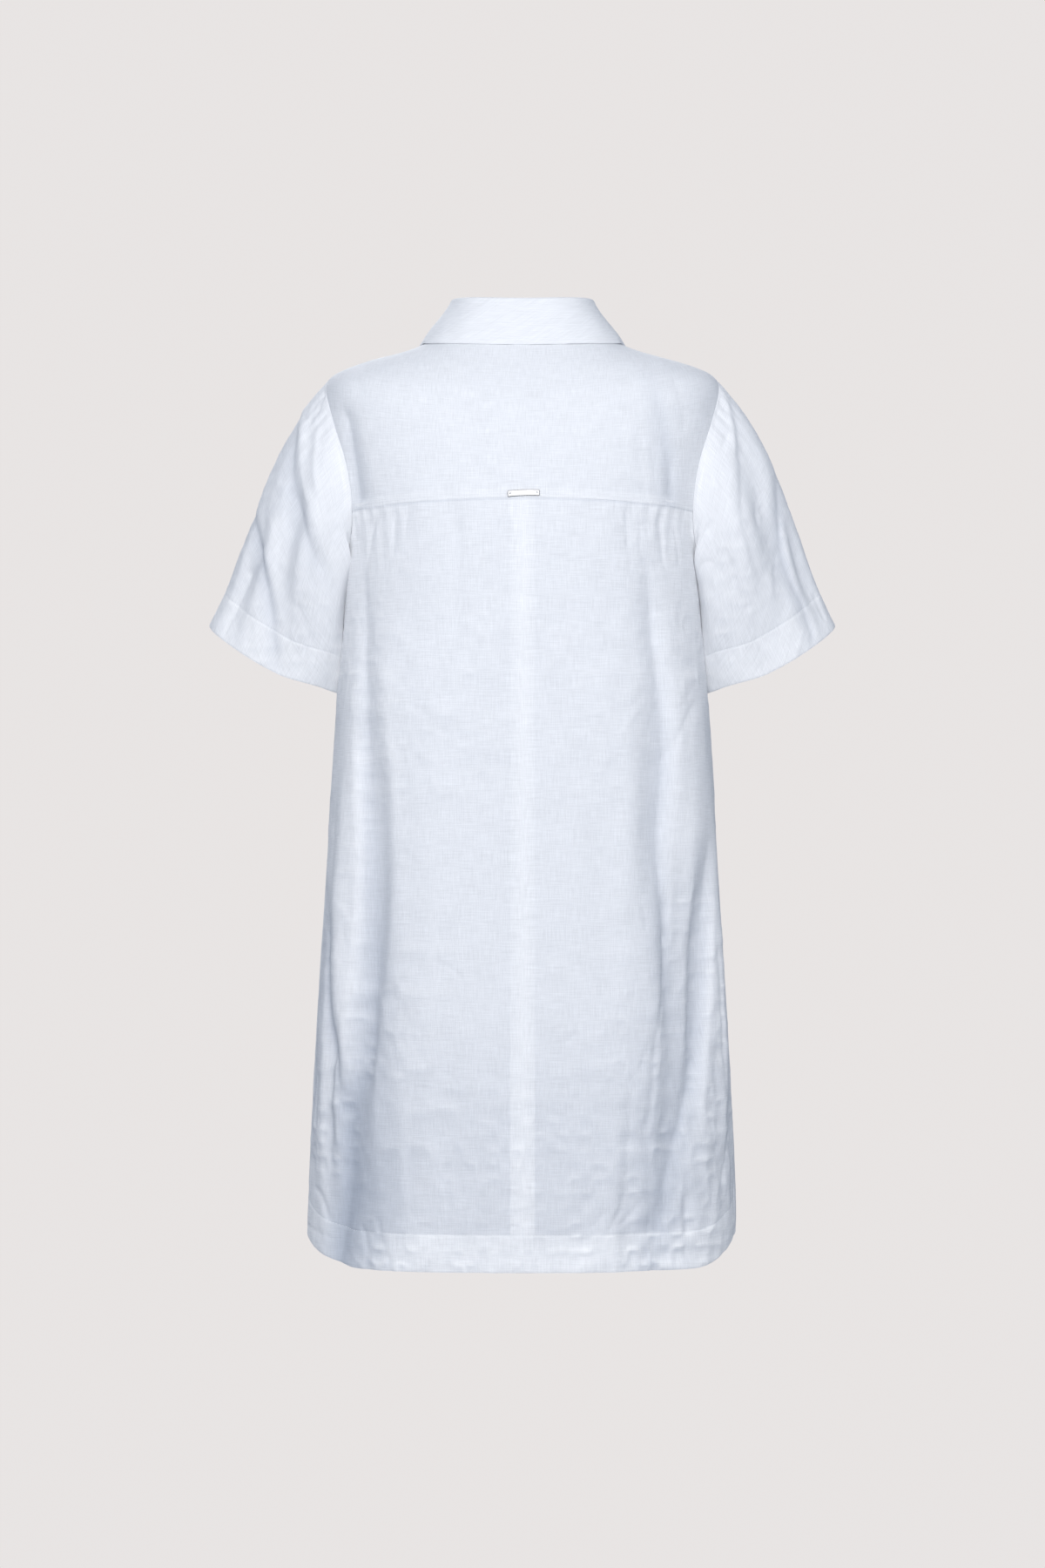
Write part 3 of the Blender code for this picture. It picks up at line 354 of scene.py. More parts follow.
# Creases, in the same millimetres: three points of a smooth line, how wide it spreads towards
# the middle of the body and away from it, and the depth (under 0 is a trough). A narrow one is
# sharp, a broad one soft
CREASE_COLUMNS = ("x0", "z0", "x1", "z1", "x2", "z2", "inward", "outward", "depth")
CREASES = {
    "back": (
        (138, -173, 144, -196, 148, -220, 5.1, 4.2, -1.4),
        (119, -171, 121, -190, 122, -215, 5.1, 5.1, -0.9),
        (108, -171, 110, -185, 110, -200, 4.2, 4.2, -0.7),
        (66, -167, 61, -224, 62, -304, 9.3, 9.3, -0.9),
        (56, -166, 59, -182, 58, -201, 4.2, 4.2, -0.6),
        (160, -173, 160, -185, 158, -200, 4.2, 4.2, -0.8),
        (115, -433, 110, -559, 119, -674, 22.0, 16.9, -1.2),
        (65, -656, 70, -746, 62, -831, 22.0, 16.9, -1.0),
        (100, -722, 106, -788, 101, -844, 11.8, 10.1, -1.3),
        (81, -746, 72, -795, 68, -835, 8.4, 7.6, -1.2),
        (197, -731, 190, -735, 183, -737, 3.4, 4.2, -0.9),
        (184, -779, 176, -784, 167, -795, 5.1, 4.2, -1.3),
        (198, -813, 189, -825, 185, -844, 5.9, 4.2, -1.8),
        (139, -834, 131, -858, 121, -882, 5.9, 5.1, -1.0),
        (158, -839, 149, -859, 148, -884, 5.9, 5.1, -1.2),
        (-98, -168, -99, -186, -100, -207, 4.2, 4.2, -1.0),
        (-129, -172, -131, -196, -135, -227, 5.1, 5.1, -1.1),
        (-111, -170, -111, -190, -112, -215, 5.1, 5.1, -0.7),
        (-144, -184, -147, -199, -150, -222, 4.2, 4.2, -0.8),
        (-131, -408, -145, -386, -167, -343, 8.0, 9.0, -1.1),
        (-167, -331, -154, -351, -145, -376, 6.0, 6.0, -0.7),
        (-136, -511, -137, -593, -129, -662, 4.2, 3.4, -1.0),
        (-129, -658, -124, -698, -114, -780, 7.6, 5.9, -1.6),
        (-119, -670, -113, -690, -99, -711, 4.2, 3.4, -1.0),
        (-101, -712, -99, -771, -91, -838, 9.0, 7.5, -1.5),
        (-122, -755, -119, -817, -117, -884, 15.0, 9.0, -2.2),
        (-91, -824, -86, -836, -80, -847, 5.1, 4.2, -1.7),
        (-109, -820, -99, -833, -86, -842, 5.1, 4.2, -1.4),
        (-78, -826, -72, -835, -65, -845, 4.2, 4.2, -1.3),
        (-186, -575, -193, -662, -200, -798, 5.1, 2.5, -1.3),
        (-198, -760, -195, -788, -190, -815, 5.9, 4.2, -1.6),
        (-59, -845, -55, -863, -52, -881, 5.1, 4.2, -1.2),
        (-156, -814, -155, -839, -154, -882, 7.6, 5.9, -1.5),
        (-73, -432, -77, -559, -73, -673, 23.7, 18.6, -1.2),
        (-41, -705, -45, -770, -41, -835, 16.9, 15.2, -0.8),
        (-111, -543, -116, -553, -115, -568, 5.1, 4.2, -1.0),
    ),
    "front": (
        (184, -560, 187, -640, 178, -760, 7.0, 4.0, -2.0),
        (104, -330, 99, -450, 106, -600, 20.0, 17.0, -1.4),
        (84, -600, 90, -710, 82, -840, 18.0, 15.0, -1.4),
        (118, -720, 112, -790, 117, -846, 10.0, 9.0, -1.5),
        (152, -214, 130, -222, 104, -214, 6.0, 6.0, -1.0),
        (158, -312, 138, -268, 108, -240, 7.0, 7.0, -1.8),
        (166, -336, 148, -312, 124, -302, 5.0, 5.0, -1.2),
        (60, -420, 55, -540, 61, -690, 18.0, 16.0, -0.9),
        (98, -842, 92, -862, 84, -880, 5.0, 5.0, -1.2),
        (-182, -540, -188, -630, -180, -745, 10.0, 5.0, -2.6),
        (-100, -320, -95, -450, -103, -620, 20.0, 17.0, -1.4),
        (-76, -640, -83, -730, -75, -845, 18.0, 15.0, -1.3),
        (-122, -700, -113, -780, -118, -846, 9.0, 7.0, -1.8),
        (-156, -300, -136, -260, -108, -236, 7.0, 7.0, -1.8),
        (-168, -340, -148, -316, -122, -308, 5.0, 5.0, -1.2),
        (-52, -440, -57, -560, -51, -700, 18.0, 16.0, -0.9),
        (-104, -836, -97, -858, -92, -880, 5.0, 5.0, -1.3),
    ),
    "yoke": (
        (170, -69, 163, -113, 156, -172, 16.9, 8.4, -3.2),
        (-144, -39, -151, -66, -155, -100, 5.1, 3.4, -1.3),
        (-142, -115, -140, -144, -141, -171, 10.1, 7.6, -1.6),
        (-125, -99, -125, -136, -128, -169, 5.9, 5.1, -0.7),
        (-112, -84, -113, -125, -117, -166, 6.8, 5.9, -0.6),
        (159, -44, 156, -52, 157, -62, 7.6, 6.8, -0.8),
        (-111, -57, -119, -60, -132, -63, 6.8, 5.1, -0.5),
        (107, -84, 103, -117, 108, -149, 10.1, 10.1, -0.4),
    ),
    "sleeve_left": (
        (211, -60, 214, -110, 203, -165, 9.0, 9.0, 1.6),
        (259, -219, 270, -246, 282, -271, 4.2, 5.1, -1.5),
        (280, -265, 285, -276, 290, -287, 3.4, 3.4, -1.0),
        (220, -144, 208, -187, 180, -234, 10.0, 12.0, -1.2),
        (189, -48, 194, -61, 199, -76, 3.4, 4.2, -1.8),
        (196, -56, 201, -68, 204, -87, 3.4, 4.2, -1.2),
        (194, -83, 199, -117, 194, -149, 5.1, 7.6, 1.2),
        (179, -102, 169, -137, 168, -169, 5.1, 5.1, -0.8),
        (233, -144, 236, -177, 230, -211, 7.6, 7.6, -0.9),
        (214, -252, 209, -273, 199, -299, 6.8, 6.8, -1.0),
        (220, -301, 213, -311, 209, -324, 5.1, 5.1, -0.9),
    ),
    "sleeve_right": (
        (-187, -41, -199, -75, -203, -118, 9.0, 8.0, 1.6),
        (-282, -242, -288, -258, -296, -272, 3.4, 3.4, -1.2),
        (-163, -231, -178, -216, -192, -234, 5.9, 5.9, -1.8),
        (-167, -236, -174, -239, -184, -249, 7.6, 7.6, -1.6),
        (-160, -219, -170, -198, -181, -177, 4.2, 5.1, -1.4),
        (-182, -46, -189, -58, -196, -73, 3.4, 4.2, -1.2),
        (-199, -211, -206, -240, -218, -265, 7.6, 8.4, -1.2),
        (-222, -261, -228, -279, -238, -299, 5.9, 5.9, -1.0),
        (-184, -261, -192, -286, -203, -311, 6.8, 6.8, -0.9),
        (-225, -144, -230, -177, -235, -211, 7.6, 8.4, -0.8),
    ),
}
# Short creases scattered over a part: seed, count, lowest x and z, highest x and z
SMALL_CREASES = {
    "back": ((5, 70, (-195, -900), (195, -560)), (6, 46, (-185, -560), (185, -180)),
             (7, 44, (-200, -925), (200, -830))),
    "front": ((8, 90, (-195, -900), (195, -200)), (9, 30, (-200, -925), (200, -840))),
    "yoke": ((10, 16, (-165, -170), (165, -30)),),
    "sleeve_left": ((12, 34, (180, -330), (300, -60)),),
    "sleeve_right": ((13, 34, (-300, -330), (-180, -60)),),
}
# Small gathers at the sleeve caps, by the turn round the sleeve
CAP_GATHERS = (0.028, 0.047, 0.068, 0.092, 0.118, -0.024, -0.043, -0.066, -0.09, -0.113)


def soft_step(value):
    """0 below 0, 1 above 1, and a smooth rise between."""
    value = np.clip(value, 0.0, 1.0)
    return value * value * (3.0 - 2.0 * value)


def bump(distance, half_width):
    """A smooth hill, 1 where the distance is 0, gone at twice the half width."""
    reach = np.clip(np.abs(distance) / (2.0 * half_width), 0.0, 1.0)
    return 0.5 + 0.5 * np.cos(np.pi * reach)


def unit(vectors):
    """Vectors of length 1."""
    return vectors / np.linalg.norm(vectors, axis=-1, keepdims=True)


def rows_of(columns, table, side=None):
    """The rows of a table as dictionaries, of one side only where a side is given."""
    rows = [dict(zip(columns, row)) for row in table]
    return [row for row in rows if side is None or row["side"] == side]


def smooth_between(knots, values, at):
    """A smooth curve through the values at the knots."""
    slopes = np.gradient(values, knots)
    at = np.clip(np.asarray(at, float), knots[0], knots[-1])
    index = np.clip(np.searchsorted(knots, at) - 1, 0, len(knots) - 2)
    span = knots[index + 1] - knots[index]
    part = (at - knots[index]) / span
    hill = span * part * (1.0 - part)
    return (
        values[index]
        + (values[index + 1] - values[index]) * part * part * (3.0 - 2.0 * part)
        + hill * (slopes[index] * (1.0 - part) - slopes[index + 1] * part)
    )


def section(column, level):
    """A column of the section table at any level."""
    return smooth_between(SECTION["level"], SECTION[column], level)


def hem_level(angle):
    """The level of the hem: flat in the middle, and risen in a curve at the sides."""
    part = np.clip(np.abs(np.asarray(angle, float)) / HEM_CURVE_ANGLE, 0.0, 1.0)
    rise = HEM_SIDE_RISE * np.clip(np.cos(0.5 * np.pi * part), 0.0, 1.0) ** HEM_CURVE_POWER
    return HEM_Z - UNDERARM_Z + rise


def yoke_level(angle):
    """The level of the yoke seam, which drops a little towards the armholes."""
    return YOKE_CENTRE_LEVEL - YOKE_DROP * np.cos(np.radians(angle)) ** 2


def tucked_level(angle):
    """The level of the backs' upper edge, which is tucked in under the yoke."""
    return yoke_level(angle) + TUCK


def neck_level(angle):
    """The level of the neck's edge, the same all round."""
    return NECK_LEVEL + 0.0 * np.asarray(angle, float)


def edge_angle(level, back):
    """The angle of a panel's outer edge: side seam, armhole, then shoulder seam."""
    level = np.asarray(level, float)
    seam = SIDE_SEAM_TOP + (SIDE_SEAM_HEM - SIDE_SEAM_TOP) * np.clip(-level / 0.60, 0.0, 1.0)
    part = np.clip(level / TIP_LEVEL, 0.0, 1.0)
    base = SIDE_SEAM_TOP + (SHOULDER_SEAM - SIDE_SEAM_TOP) * part
    reach = ARMHOLE_BACK if back else -ARMHOLE_FRONT
    armhole = base + reach * np.clip(np.sin(np.pi * part), 0.0, 1.0) ** ARMHOLE_FULLNESS
    return np.where(level <= 0, seam, np.where(level >= TIP_LEVEL, SHOULDER_SEAM, armhole))


def yoke_end_level():
    """The level where the yoke seam meets the armhole."""
    level = YOKE_CENTRE_LEVEL
    for _ in range(30):
        level = float(yoke_level(edge_angle(level, True)))
    return level


def seam_hold(angle, level):
    """0 on the armhole, which holds the cloth still, and 1 a little way from it."""
    edge = np.where(angle > 0, edge_angle(level, True), edge_angle(level, False))
    distance = np.radians(np.abs(angle - edge)) * section("half_width", level)
    above = soft_step((level + 0.040) / 0.040)
    return 1.0 - above * (1.0 - soft_step(distance / 0.016))


def skirt_folds(side, angle, level, height):
    """How far the long folds move the cloth outwards."""
    moved = np.zeros(angle.shape)
    radius = section("half_width", level)
    for fold in rows_of(FOLD_COLUMNS, FOLDS, side):
        up = (height - fold["middle_z"]) / fold["reach_up"]
        down = (fold["middle_z"] - height) / fold["reach_down"]
        top, middle, foot = fold["angle_top"], fold["angle_middle"], fold["angle_foot"]
        above = middle + (top - middle) * soft_step(up)
        below = middle + (foot - middle) * soft_step(down)
        line = np.where(up > 0, above, below)
        fade = 1.0 - soft_step(np.maximum(up, down))
        distance = np.radians(angle - line) * radius
        moved = moved + fold["depth"] * fade * bump(distance, fold["half_width"])
    return moved


def gathers(side, angle, level):
    """The little troughs that hang from the yoke seam and fade below it."""
    moved = np.zeros(angle.shape)
    radius = section("half_width", level)
    below = yoke_level(angle) - level
    for gather in rows_of(GATHER_COLUMNS, GATHERS, side):
        distance = np.radians(angle - gather["angle"]) * radius
        fade = (1.0 - soft_step(below / gather["length"])) * soft_step(below / 0.003)
        moved = moved + gather["depth"] * fade * bump(distance, gather["half_width"])
    return moved


def body_power(level):
    """How square a section is: a little fuller between the underarms and the skirt."""
    fuller = soft_step(-level / 0.10) * (1.0 - 0.6 * soft_step((-level - 0.30) / 0.25))
    return SQUARENESS + 0.45 * fuller


def body_point(side, angle, level, folded=True):
    """A point of the body's cloth. The angle is in degrees from the side, 90 at the
    centre back and -90 at the centre front; side is 1 on the wearer's left."""
    angle, level = np.broadcast_arrays(np.asarray(angle, float), np.asarray(level, float))
    cosine, sine = np.cos(np.radians(angle)), np.sin(np.radians(angle))
    behind = sine > 0
    power = body_power(level)
    square = (np.abs(cosine) ** power + np.abs(sine) ** power) ** (-1.0 / power)
    depth = np.where(behind, section("back_depth", level), section("front_depth", level))
    end_z = np.where(behind, section("back_z", level), section("front_z", level))
    half_width = section("half_width", level)
    height = section("side_z", level) * cosine**2 + end_z * sine**2
    if folded:
        moved = skirt_folds(side, angle, level, height)
        moved = moved * (0.25 + 0.75 * soft_step((-0.20 - height) / 0.24))
        moved = moved + GATHER_SHARE * gathers(side, angle, level)
        moved = moved * seam_hold(angle, level)
        half_width = half_width + moved
        depth = depth + moved
    return np.stack(
        [side * half_width * square * cosine, depth * square * sine, height], axis=-1)


def side_of_body(point):
    """How far out the body's plain side reaches at a point's depth and height."""
    level = np.minimum(point[..., 2] - UNDERARM_Z, 0.06)
    behind = point[..., 1] > 0
    depth = np.where(behind, section("back_depth", level), section("front_depth", level))
    part = np.minimum(np.abs(point[..., 1]) / depth, 0.95) ** body_power(level)
    return section("half_width", level) * (1.0 - part) ** (1.0 / body_power(level))


def body_normal(side, angle, level, folded=True):
    """The outward direction of the cloth, from points a little way off."""
    low = np.maximum(np.asarray(level, float) - 0.0015, SECTION["level"][0])
    high = np.minimum(np.asarray(level, float) + 0.0015, NECK_LEVEL)
    ahead = body_point(side, np.asarray(angle) + 0.4, level, folded)
    behind = body_point(side, np.asarray(angle) - 0.4, level, folded)
    up = body_point(side, angle, high, folded) - body_point(side, angle, low, folded)
    return unit(np.cross(ahead - behind, up) * side)


def plain_place(side, angle, level):
    """A point of the body without its folds, and the outward direction there."""
    return body_point(side, angle, level, False), body_normal(side, angle, level, False)


def lap_lift(side, point):
    """How far the right front is lifted, to lie over the left front's edge."""
    ramp = soft_step((point[..., 0] + BAND_HALF_WIDTH + LAP_RAMP) / LAP_RAMP)
    return LAP_LIFT * ramp * (side < 0) * (point[..., 1] < 0)


def over_body(turn, level_of, clear_of):
    """A point clear of the body at a turn in degrees round the neck: 0 the left, 90 the
    back, 180 the right, and -90 or 270 the front."""
    left = turn <= 90.0
    angle = np.where(left, turn, 180.0 - turn)
    point, normal = plain_place(1, angle, level_of(angle))
    flip = np.where(left[..., None], 1.0, MIRROR)
    point, normal = point * flip, normal * flip
    lift = np.where(left, 0.0, lap_lift(-1, point)) + clear_of(angle)
    return point + normal * lift[..., None]


def armhole_table(back):
    """Levels round half the armhole, and how far along it each one is, from 0 to 1."""
    levels = TIP_LEVEL * (0.5 - 0.5 * np.cos(np.linspace(0.0, np.pi, 241)))
    points = body_point(1, edge_angle(levels, back), levels, folded=False)
    steps = np.linalg.norm(np.diff(points, axis=0), axis=-1)
    length = np.concatenate([[0.0], np.cumsum(steps)])
    return levels, length / length[-1]


ARMHOLE_TABLES = {back: armhole_table(back) for back in (True, False)}


def armhole_at(turn):
    """The armhole's point and the body's outward direction at a place round the sleeve."""
    turn = np.mod(turn, 1.0)
    back = turn <= 0.5
    along_back = np.interp(1.0 - 2.0 * turn, *ARMHOLE_TABLES[True][::-1])
    along_front = np.interp(2.0 * turn - 1.0, *ARMHOLE_TABLES[False][::-1])
    level = np.where(back, along_back, along_front)
    angle = np.where(back, edge_angle(level, True), edge_angle(level, False))
    return plain_place(1, angle, level)


def sleeve_frame():
    """Unit vectors across the open end, through its depth, and along the sleeve."""
    lean, forward = math.radians(SLEEVE_LEAN), math.radians(SLEEVE_FORWARD)
    across = np.array([math.cos(lean), 0.0, math.sin(lean)])
    way = np.array([
        math.sin(lean) * math.cos(forward), -math.sin(forward),
        -math.cos(lean) * math.cos(forward)])
    return across, np.cross(across, way), way


def sleeve_base(turn, along):
    """A point of the left sleeve without its folds."""
    turn, along = np.broadcast_arrays(np.asarray(turn, float), np.asarray(along, float))
    start, _ = armhole_at(turn)
    across, depth, way = sleeve_frame()
    cosine, sine = np.cos(2 * np.pi * turn), np.sin(2 * np.pi * turn)
    power = SLEEVE_END_SQUARENESS
    square = (np.abs(cosine) ** power + np.abs(sine) ** power) ** (-1.0 / power)
    end = (
        np.array(SLEEVE_END)
        + across * (SLEEVE_END_HALF_WIDTH * square * cosine)[..., None]
        + depth * (SLEEVE_END_HALF_DEPTH * square * sine)[..., None]
    )
    cap = np.stack(
        [CAP_WAY[0] + 0.0 * sine, CAP_WAY[1] * sine, CAP_WAY[2] + 0.0 * sine], axis=-1)
    chord = np.linalg.norm(end - start, axis=-1, keepdims=True)
    a = along[..., None]
    return (
        start * (2 * a**3 - 3 * a**2 + 1)
        + unit(cap) * chord * (a**3 - 2 * a**2 + a)
        + end * (3 * a**2 - 2 * a**3)
        + way * chord * (a**3 - a**2)
    )


def sleeve_slope(point_at, turn, along):
    """The outward direction of a sleeve's surface, from points a little way off."""
    low, high = np.maximum(along - 0.006, 0.0), np.minimum(along + 0.006, 1.0)
    ahead = point_at(turn + 0.003, along) - point_at(turn - 0.003, along)
    down = point_at(turn, high) - point_at(turn, low)
    return unit(np.cross(down, ahead))


def sleeve_fold(side, turn, along):
    """How far a sleeve's folds move its cloth outwards."""
    moved = np.zeros(turn.shape)
    for fold in rows_of(SLEEVE_FOLD_COLUMNS, SLEEVE_FOLDS, side):
        rise = soft_step((along - fold["start"]) / (fold["deepest"] - fold["start"]))
        fall = 1.0 - soft_step((along - fold["deepest"]) / (fold["end"] - fold["deepest"]))
        line = fold["turn_cap"] + (fold["turn_cuff"] - fold["turn_cap"]) * along
        distance = np.mod(turn - line + 0.5, 1.0) - 0.5
        moved = moved + fold["depth"] * rise * fall * bump(distance, fold["half_turn"])
    return moved


def sleeve_point(side, turn, along):
    """A point of a sleeve with its folds, as if on the left."""
    turn, along = np.broadcast_arrays(np.asarray(turn, float), np.asarray(along, float))
    away = sleeve_slope(sleeve_base, turn, along)
    return sleeve_base(turn, along) + away * sleeve_fold(side, turn, along)[..., None]


def neck_ring(turn):
    """The neck edge at a turn in degrees: the point, the level way out, and the way up."""
    turn = np.asarray(turn, float)

    def edge(at):
        return over_body(at, neck_level, np.zeros_like)

    tangent = unit(edge(turn + 0.5) - edge(turn - 0.5))
    out = unit(np.cross(tangent, UP))
    up = unit(UP - 0.6 * tangent * tangent[..., 2:3])
    return edge(turn), out, up


def stand_height(turn):
    """How high the collar's stand is, a little lower at the front."""
    part = 0.5 + 0.5 * np.sin(np.radians(turn))
    return STAND_HEIGHT_FRONT + (STAND_HEIGHT_BACK - STAND_HEIGHT_FRONT) * part


def stand_point(turn, part):
    """A point of the stand's outer face; part runs from 0 at the neck to 1 at its top."""
    point, out, up = neck_ring(turn)
    height = GAP + stand_height(turn) * part
    return point + up * np.asarray(height)[..., None] - out * STAND_LEAN * np.asarray(part)


def fall_edge(turn):
    """A point of the fall's lower edge, on the outer face."""
    return over_body(
        turn, lambda angle: smooth_between(FALL["angle"], FALL["level"], angle),
        lambda angle: smooth_between(FALL["angle"], FALL["clear"], angle) + COLLAR_WALL)


def fall_point(across, part):
    """A point of the fall's upper face. across runs round the neck from 0 to 1, and part
    goes over the roll from 0 to 1 and then down to the edge from 1 to 2."""
    across, part = np.broadcast_arrays(np.asarray(across, float), np.asarray(part, float))
    near = math.degrees(math.asin(COLLAR_END_X / SECTION["half_width"][-1]))
    point_width = float(section("half_width", FALL["level"][0]))
    far = math.degrees(math.asin(COLLAR_POINT_X / point_width))
    turn = -90.0 + near + (360.0 - 2 * near) * across
    edge = fall_edge(-90.0 + far + (360.0 - 2 * far) * across)
    _, out, up = neck_ring(turn)
    middle = stand_point(turn, 1.0) + out * (ROLL_RADIUS - COLLAR_WALL) + up * (2 * GAP)
    over = np.radians(180.0 - (180.0 - ROLL_END) * np.clip(part, 0.0, 1.0))[..., None]
    roll = middle + ROLL_RADIUS * (out * np.cos(over) + up * np.sin(over))
    cosine, sine = math.cos(math.radians(ROLL_END)), math.sin(math.radians(ROLL_END))
    start = middle + ROLL_RADIUS * (out * cosine + up * sine)
    way = unit(out * sine - up * cosine)
    chord = edge - start
    length = np.linalg.norm(chord, axis=-1, keepdims=True)
    last = unit(unit(chord) * 0.75 - UP * 0.25)
    down = np.clip(part - 1.0, 0.0, 1.0)[..., None]
    curve = (
        start * (1 - down) ** 3
        + 3 * (start + way * length * 0.30) * down * (1 - down) ** 2
        + 3 * (edge - last * length * 0.33) * down**2 * (1 - down)
        + edge * down**3
    )
    return np.where(part[..., None] < 1.0, roll, curve)


NOISE_SIDE = 64
NOISE = np.random.default_rng(11).uniform(-1.0, 1.0, (NOISE_SIDE, NOISE_SIDE, NOISE_SIDE))


def noise(points, scale, shift=0.0):
    """Smooth noise between -1 and 1 at points in space. The scale is in cells a metre."""
    place = points * np.asarray(scale, float) + shift
    cell = np.floor(place).astype(int)
    part = place - cell
    part = part**3 * (part * (part * 6.0 - 15.0) + 10.0)
    total = np.zeros(place.shape[:-1])
    for corner in np.ndindex(2, 2, 2):
        weight = np.prod(np.where(corner, part, 1.0 - part), axis=-1)
        index = np.mod(cell + corner, NOISE_SIDE)
        total = total + weight * NOISE[index[..., 0], index[..., 1], index[..., 2]]
    return total


def steps_of(start, *stretches):
    """Values from a start, in stretches of even steps, each (end, number of steps)."""
    values = [start]
    for end, count in stretches:
        values.extend(np.linspace(values[-1], end, count + 1)[1:])
    return np.array(values)


def edge_distances(point):
    """How far each point of a grid is from its low, high, first and last edges."""
    rows, columns = point.shape[:2]
    up = np.linalg.norm(np.diff(point, axis=0), axis=-1)
    along = np.linalg.norm(np.diff(point, axis=1), axis=-1)
    low = np.concatenate([np.zeros((1, columns)), np.cumsum(up, axis=0)])
    first = np.concatenate([np.zeros((rows, 1)), np.cumsum(along, axis=1)], axis=1)
    return {"low": low, "high": low[-1] - low, "first": first, "last": first[:, -1:] - first}


# Body panels: rows lie at fixed distances from the foot and the head, so that stitch
# lines keep their place, and are spread evenly between
FOOT_ZONE = 0.045
HEAD_ZONE = 0.014
FOOT_ROWS = steps_of(0.0, (0.0018, 3), (0.0330, 15), (0.0374, 6), (FOOT_ZONE, 4))
HEAD_ROWS = steps_of(0.0, (0.0015, 3), (HEAD_ZONE, 8))


def level_rows(edge, low, high):
    """The levels of every row in each column, from those of the outer edge."""
    foot, head = edge[0] + FOOT_ZONE, edge[-1] - HEAD_ZONE
    part = np.clip((edge - foot) / (head - foot), 0.0, 1.0)
    up = np.minimum(edge - edge[0], FOOT_ZONE) - FOOT_ZONE
    down = HEAD_ZONE - np.minimum(edge[-1] - edge, HEAD_ZONE)
    start, end = low + FOOT_ZONE, high - HEAD_ZONE
    return start + (end - start) * part[:, None] + (up + down)[:, None]


def panel_angles(level, edge, back, near, parts):
    """Angles of a panel's columns: at fixed distances beside the centre, then spread to
    the outer edge."""
    half_width = section("half_width", level)[:, None]
    way = 1.0 if back else -1.0
    close = way * (90.0 - np.degrees(np.arcsin(near / half_width)))
    start = close[:, -1:]
    return np.concatenate([close, start + (edge[:, None] - start) * parts[1:]], axis=1)


def panel_grid(side, edge_levels, back, low_of, high_of, near, parts, folded=True):
    """The points of a body panel's outer face, their normals and flat places."""
    edge = np.array([float(edge_angle(level, back)) for level in edge_levels])
    centre = 90.0 if back else -90.0
    middle = level_rows(edge_levels, low_of(centre), high_of(centre))[:, 0]
    angle = panel_angles(middle, edge, back, near, parts)
    level = level_rows(edge_levels, low_of(angle[0]), high_of(angle[-1]))
    point = body_point(side, angle, level, folded)
    normal = body_normal(side, angle, level, folded)
    point = point + normal * lap_lift(side, point)[..., None]
    across = edge_distances(point)["first"]
    return {"point": point, "normal": normal, "flat": np.stack([across * side, level], axis=-1)}


def side_rows(back, head):
    """Levels of the outer edge's points, from the hem to the seam above."""
    low = float(hem_level(edge_angle(-0.6, back)))
    rising = steps_of(low + FOOT_ZONE, (-0.030, 205), (0.014, 20), (head - HEAD_ZONE, 26))
    return np.concatenate([low + FOOT_ROWS, rising[1:], head - HEAD_ROWS[-2::-1]])


def front_rows():
    """Levels of a front's outer edge, from the hem past the shoulder to the neck."""
    low = float(hem_level(edge_angle(-0.6, False)))
    rising = steps_of(
        low + FOOT_ZONE, (-0.030, 180), (0.014, 18), (0.205, 58), (0.232, 12),
        (NECK_LEVEL - HEAD_ZONE, 30))
    return np.concatenate([low + FOOT_ROWS, rising[1:], NECK_LEVEL - HEAD_ROWS[-2::-1]])


def front_grid(side):
    """A front's outer face, from its free edge to its outer edge."""
    edge = BAND_HALF_WIDTH
    near = steps_of(-edge, (-edge + 0.0018, 4), (edge - 0.0024, 9), (edge + 0.0012, 6))
    parts = steps_of(0.0, (0.90, 74), (0.985, 12), (1.0, 6))
    return panel_grid(side, front_rows(), False, hem_level, neck_level, near, parts)


def yoke_grid():
    """The yoke's outer face, from the left armhole to the right one."""
    end = yoke_end_level()
    rising = steps_of(end + FOOT_ZONE, (0.205, 16), (0.232, 9), (NECK_LEVEL - HEAD_ZONE, 30))
    foot = steps_of(0.0, (0.0040, 8), (0.0110, 6), (FOOT_ZONE, 12))
    rows = np.concatenate([end + foot, rising[1:], NECK_LEVEL - HEAD_ROWS[-2::-1]])
    near = steps_of(0.0, (0.006, 3))
    parts = steps_of(0.0, (0.88, 62), (0.98, 10), (1.0, 6))
    halves = [
        panel_grid(side, rows, True, yoke_level, neck_level, near, parts, False)
        for side in (1, -1)]
    return {
        key: np.concatenate([halves[0][key][:, ::-1], halves[1][key][:, 1:]], axis=1)
        for key in ("point", "normal", "flat")}


def sleeve_grid(side):
    """A sleeve's outer face, from the armhole to its open end, all the way round."""
    turns = np.arange(180) / 180
    length = np.linalg.norm(sleeve_base(turns, 1.0) - sleeve_base(turns, 0.0), axis=-1)
    zone = FOOT_ZONE / length
    places = [(1.0 - zone) * part for part in steps_of(0.0, (0.03, 5), (1.0, 70))]
    places.extend(1.0 - rest / length for rest in FOOT_ROWS[-2::-1])
    along = np.array(places)
    turn = np.broadcast_to(turns, along.shape)
    point = sleeve_point(side, turn, along)
    normal = sleeve_slope(lambda t, a: sleeve_point(side, t, a), turn, along)
    _, body = armhole_at(turns)
    near_seam = np.exp(-((along * length) / 0.010) ** 2)[..., None]
    agree = soft_step((np.sum(normal * body, axis=-1) + 0.1) / 0.6)[..., None] * near_seam
    normal = unit(body * agree + normal * (1.0 - agree))
    flat = np.stack([turn * SLEEVE_ROUND, -along * length], axis=-1)
    if side < 0:
        point, normal = point * MIRROR, normal * MIRROR
    return {"point": point, "normal": normal, "flat": flat}


